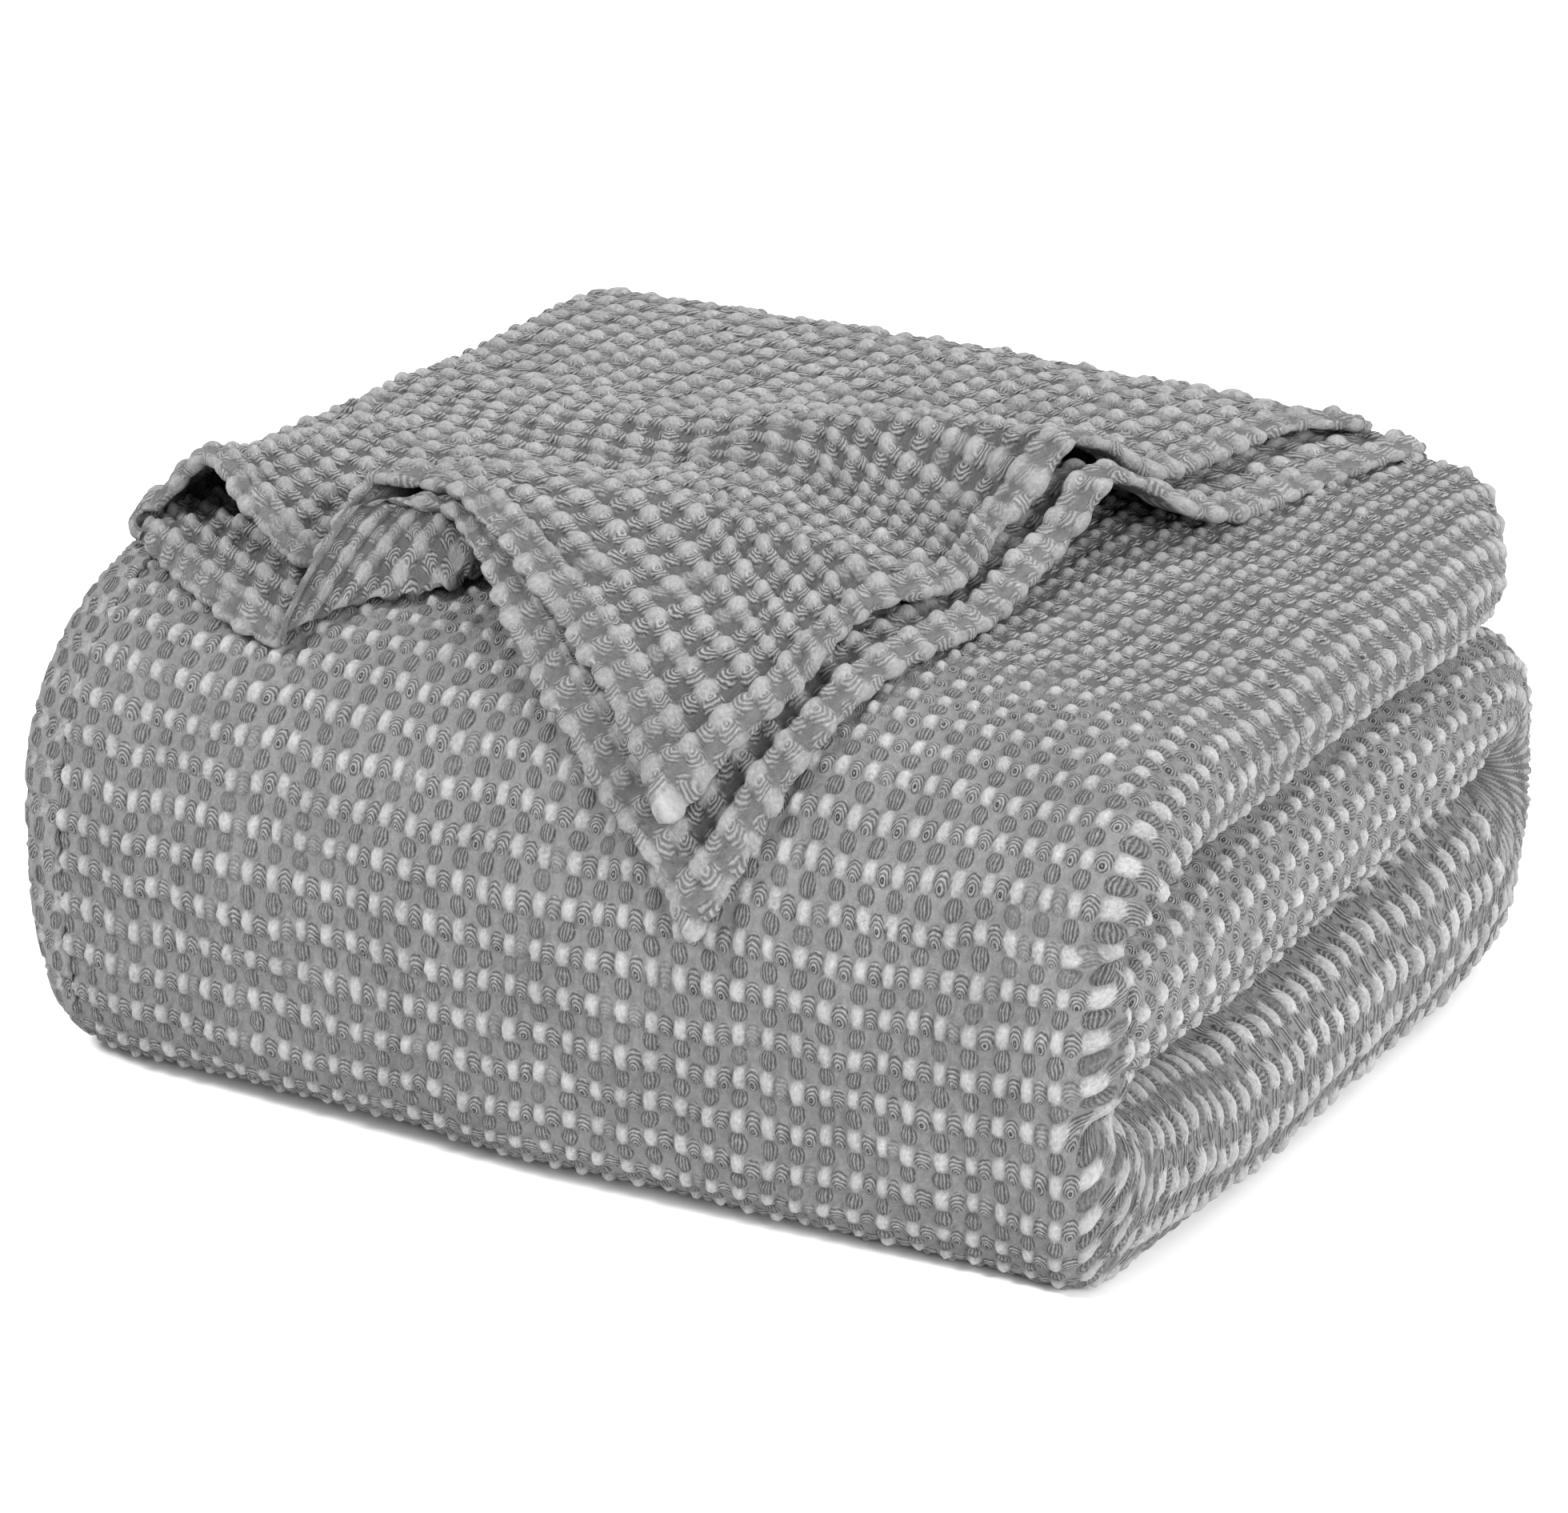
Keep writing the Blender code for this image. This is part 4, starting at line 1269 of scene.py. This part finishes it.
def weft_threads(cloth, clear):
    """Arched threads, and the dark eye that some of them leave open."""
    side = 0.8 * (cloth.cell_u - WEFT["u"]) / WEFT["wide"]
    up = (cloth.cell_v - WEFT["v"]) / WEFT["tall"] + 0.85 - 0.5 * cloth.other \
        + 0.7 * cloth.stretch
    ring = (side * side + 0.75 * up * up).power(0.5) + 0.3 * cloth.ripple
    lines = lines_of(ring * WEFT_THREADS, clear)
    eye = (1.0 - 3.2 * ring).soft(0.0, 0.6) * cloth.other.soft(0.5, 0.7)
    return lines.mixed(loops(cloth, clear, LOOP_AWAY, 0.0), cloth.loose), eye


print("loops over one cell:", round(LOOP_THREADS / (2 * math.pi), 1))

# %% [markdown]
# The tones are put together as the weaver would name them: plain patch, warp
# float, weft float, pad, and then the hem over all of them. Loose cloth is given
# painted shade between its blocks, because there they stand close and shade each
# other. The bump carries what is finer than the mesh: threads and fuzz.

# %% Grey waffle cotton
PLAIN_TONE, PAD_TONE = 0.305, 0.43
# painted recess shade: the plain patch of loose cloth is darker by the first amount;
# the pad is darker by the second
PAINTED_RECESS_SHADE, LOOSE_PAD = 0.13, 0.10    # darker by this where the cloth is loose
# painted shade: how much darker loose cloth is made between its blocks
PAINTED_BLOCK_SHADE = 0.34                  # between the blocks of loose cloth
PLAIN_THREADS = 62.0          # radians of wave over one cell


def waffle_cotton():
    """Washed light grey cotton in the waffle weave."""
    material = bpy.data.materials.new("grey_waffle_cotton")
    material.use_nodes = True
    tree = material.node_tree
    shader = tree.nodes["Principled BSDF"]
    start = Value(tree, None)
    cloth = cloth_facts(start)
    loose, hem, chance, fuzz = cloth.loose, cloth.hem, cloth.chance, cloth.fuzz
    clear = 0.35 + 0.65 * cloth.other.soft(0.04, 0.22)
    warp_lines = warp_threads(cloth, clear)
    weft_lines, eye = weft_threads(cloth, clear)
    pad_dome = dome(cloth, PAD, 2.8, cloth.grown)
    weft_dome, warp_dome = dome(cloth, WEFT, 2.2), dome(cloth, WARP, 2.2)
    pad = (pad_dome + 1.2 * fuzz).soft(-0.1, 0.9)
    weft = (weft_dome + 0.5 * fuzz).soft(-0.05, 0.3)
    warp = (warp_dome + 0.5 * fuzz).soft(-0.05, 0.3)
    plain = (cloth.u * PLAIN_THREADS).wave() * (cloth.v * PLAIN_THREADS).wave()

    # The dome terms make each float darker towards its rim, painted shade where the
    # blocks meet. The warp float, below the pad, is darker than the weft float: partly
    # its own tone, partly painted shade of the pad above it.
    warp_tone = 0.005 + (0.17 + 0.13 * loose) * warp_lines + 0.05 * warp_dome
    weft_tone = 0.02 + (0.25 + 0.04 * loose) * weft_lines + 0.07 * weft_dome \
        - 0.10 * eye
    # painted shade: the floats are darker where the cloth is stretched on the round
    # lobes, whose deep relief shades them
    painted_lobe_shade = 1.0 - 0.2 * cloth.stretch
    # plain patch, darkened by painted recess shade where the cloth is loose
    tone = PLAIN_TONE - PAINTED_RECESS_SHADE * loose + 0.012 * plain
    tone = tone.mixed(warp_tone * painted_lobe_shade, warp)
    tone = tone.mixed(weft_tone * painted_lobe_shade, weft)
    tone = tone.mixed(PAD_TONE + 0.03 * chance - LOOSE_PAD * loose, pad)
    # painted shade round the foot of each block on loose cloth, where the blocks shade
    # each other
    raised = pad_dome.most(weft_dome).most(warp_dome).soft(0.0, 0.7)
    tone = tone * (1.0 - PAINTED_BLOCK_SHADE * loose * (1.0 - raised))
    tone = tone.mixed(0.09 + 0.66 * tone, hem)
    stitched = (1.0 - 6.0 * abs(hem - 0.4)).most(0.0)
    tone = tone * (1.0 - 0.3 * stitched)
    tone = tone * (1.0 + fuzz + 0.9 * cloth.fluff + 0.35 * cloth.cloud
                   + 0.08 * (chance - 0.5))
    colour = start.node("ShaderNodeCombineColor", Red=tone, Green=tone, Blue=tone)
    tree.links.new(colour.socket, shader.inputs["Base Color"])

    height = (0.1 * plain).mixed(0.7 * warp_lines, warp)
    height = height.mixed(0.7 * weft_lines, weft).mixed(0.3, pad)
    bump = start.node("ShaderNodeBump", Height=height + 0.8 * fuzz + 0.9 * cloth.fluff,
                      Strength=0.9, Distance=0.0013)
    tree.links.new(bump.socket, shader.inputs["Normal"])
    shader.inputs["Roughness"].default_value = 0.95
    shader.inputs["Sheen Weight"].default_value = 0.15
    shader.inputs["Sheen Roughness"].default_value = 0.6
    shader.inputs["Specular IOR Level"].default_value = 0.2
    return material


cotton = waffle_cotton()
sheets = [o for o in bpy.data.objects if "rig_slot" in o]
for sheet in sheets:
    sheet.data.materials.append(cotton)
print("finish on", len(sheets), "pieces")

# %% [markdown]
# ## Floor, light and camera
# The blanket stands on a pale studio floor that runs out of sight, in a bright
# white room of light with one large soft lamp from the upper left, so that the
# pads throw small soft shadows. The camera has a long lens and looks down a
# little from the front right, as in the photograph.

# %% Floor
bpy.ops.object.select_all(action="DESELECT")
bpy.ops.mesh.primitive_plane_add(size=16.0, location=(0.0, 0.0, -0.0003))
floor = bpy.context.object
floor.name = "floor"
paint = bpy.data.materials.new("pale_floor")
paint.use_nodes = True
paint_shader = paint.node_tree.nodes["Principled BSDF"]
paint_shader.inputs["Base Color"].default_value = (0.92, 0.92, 0.92, 1.0)
paint_shader.inputs["Roughness"].default_value = 0.7
floor.data.materials.append(paint)
print("floor laid")

# %% Light
world = bpy.data.worlds.new("studio")
bpy.context.scene.world = world
world.use_nodes = True
sky = world.node_tree.nodes["Background"]
sky.inputs["Color"].default_value = (1.0, 1.0, 1.0, 1.0)
sky.inputs["Strength"].default_value = 0.6
LAMPS = [
    {"name": "key_lamp", "place": (-1.6, -1.2, 2.2), "size": 0.8, "watts": 87.0},
    {"name": "fill_lamp", "place": (2.2, -0.8, 1.1), "size": 1.6, "watts": 80.0},
    {"name": "back_lamp", "place": (0.9, 1.8, 1.6), "size": 1.2, "watts": 26.0},
]
for lamp in LAMPS:
    bpy.ops.object.light_add(type="AREA", location=lamp["place"])
    light = bpy.context.object
    light.name = lamp["name"]
    light.data.size = lamp["size"]
    light.data.energy = lamp["watts"]
    aim = Vector((0.0, 0.0, 0.08)) - light.location
    light.rotation_mode = "QUATERNION"
    light.rotation_quaternion = aim.to_track_quat("-Z", "Y")
bpy.context.scene.view_settings.view_transform = "Standard"
print("lamps:", [lamp["name"] for lamp in LAMPS])

# %% Camera
SENSOR = 36.0                 # width of the sensor, mm
lens_pixels, frame_pixels = 6200.0, 1960.0    # read off the photograph
azimuth, elevation = math.radians(31.0), math.radians(21.54)
look_at = Vector((-0.0198, 0.0060, 0.080))
distance = 1.741
back = Vector((math.sin(azimuth) * math.cos(elevation),
               -math.cos(azimuth) * math.cos(elevation), math.sin(elevation)))
bpy.ops.object.camera_add(location=look_at + back * distance)
camera = bpy.context.object
camera.rotation_mode = "QUATERNION"
camera.rotation_quaternion = (-back).to_track_quat("-Z", "Y")
camera.data.sensor_fit = "HORIZONTAL"
camera.data.sensor_width = SENSOR
camera.data.lens = lens_pixels / frame_pixels * SENSOR
camera.data.clip_end = 20.0
bpy.context.scene.camera = camera
print("lens", round(camera.data.lens, 1), "mm")
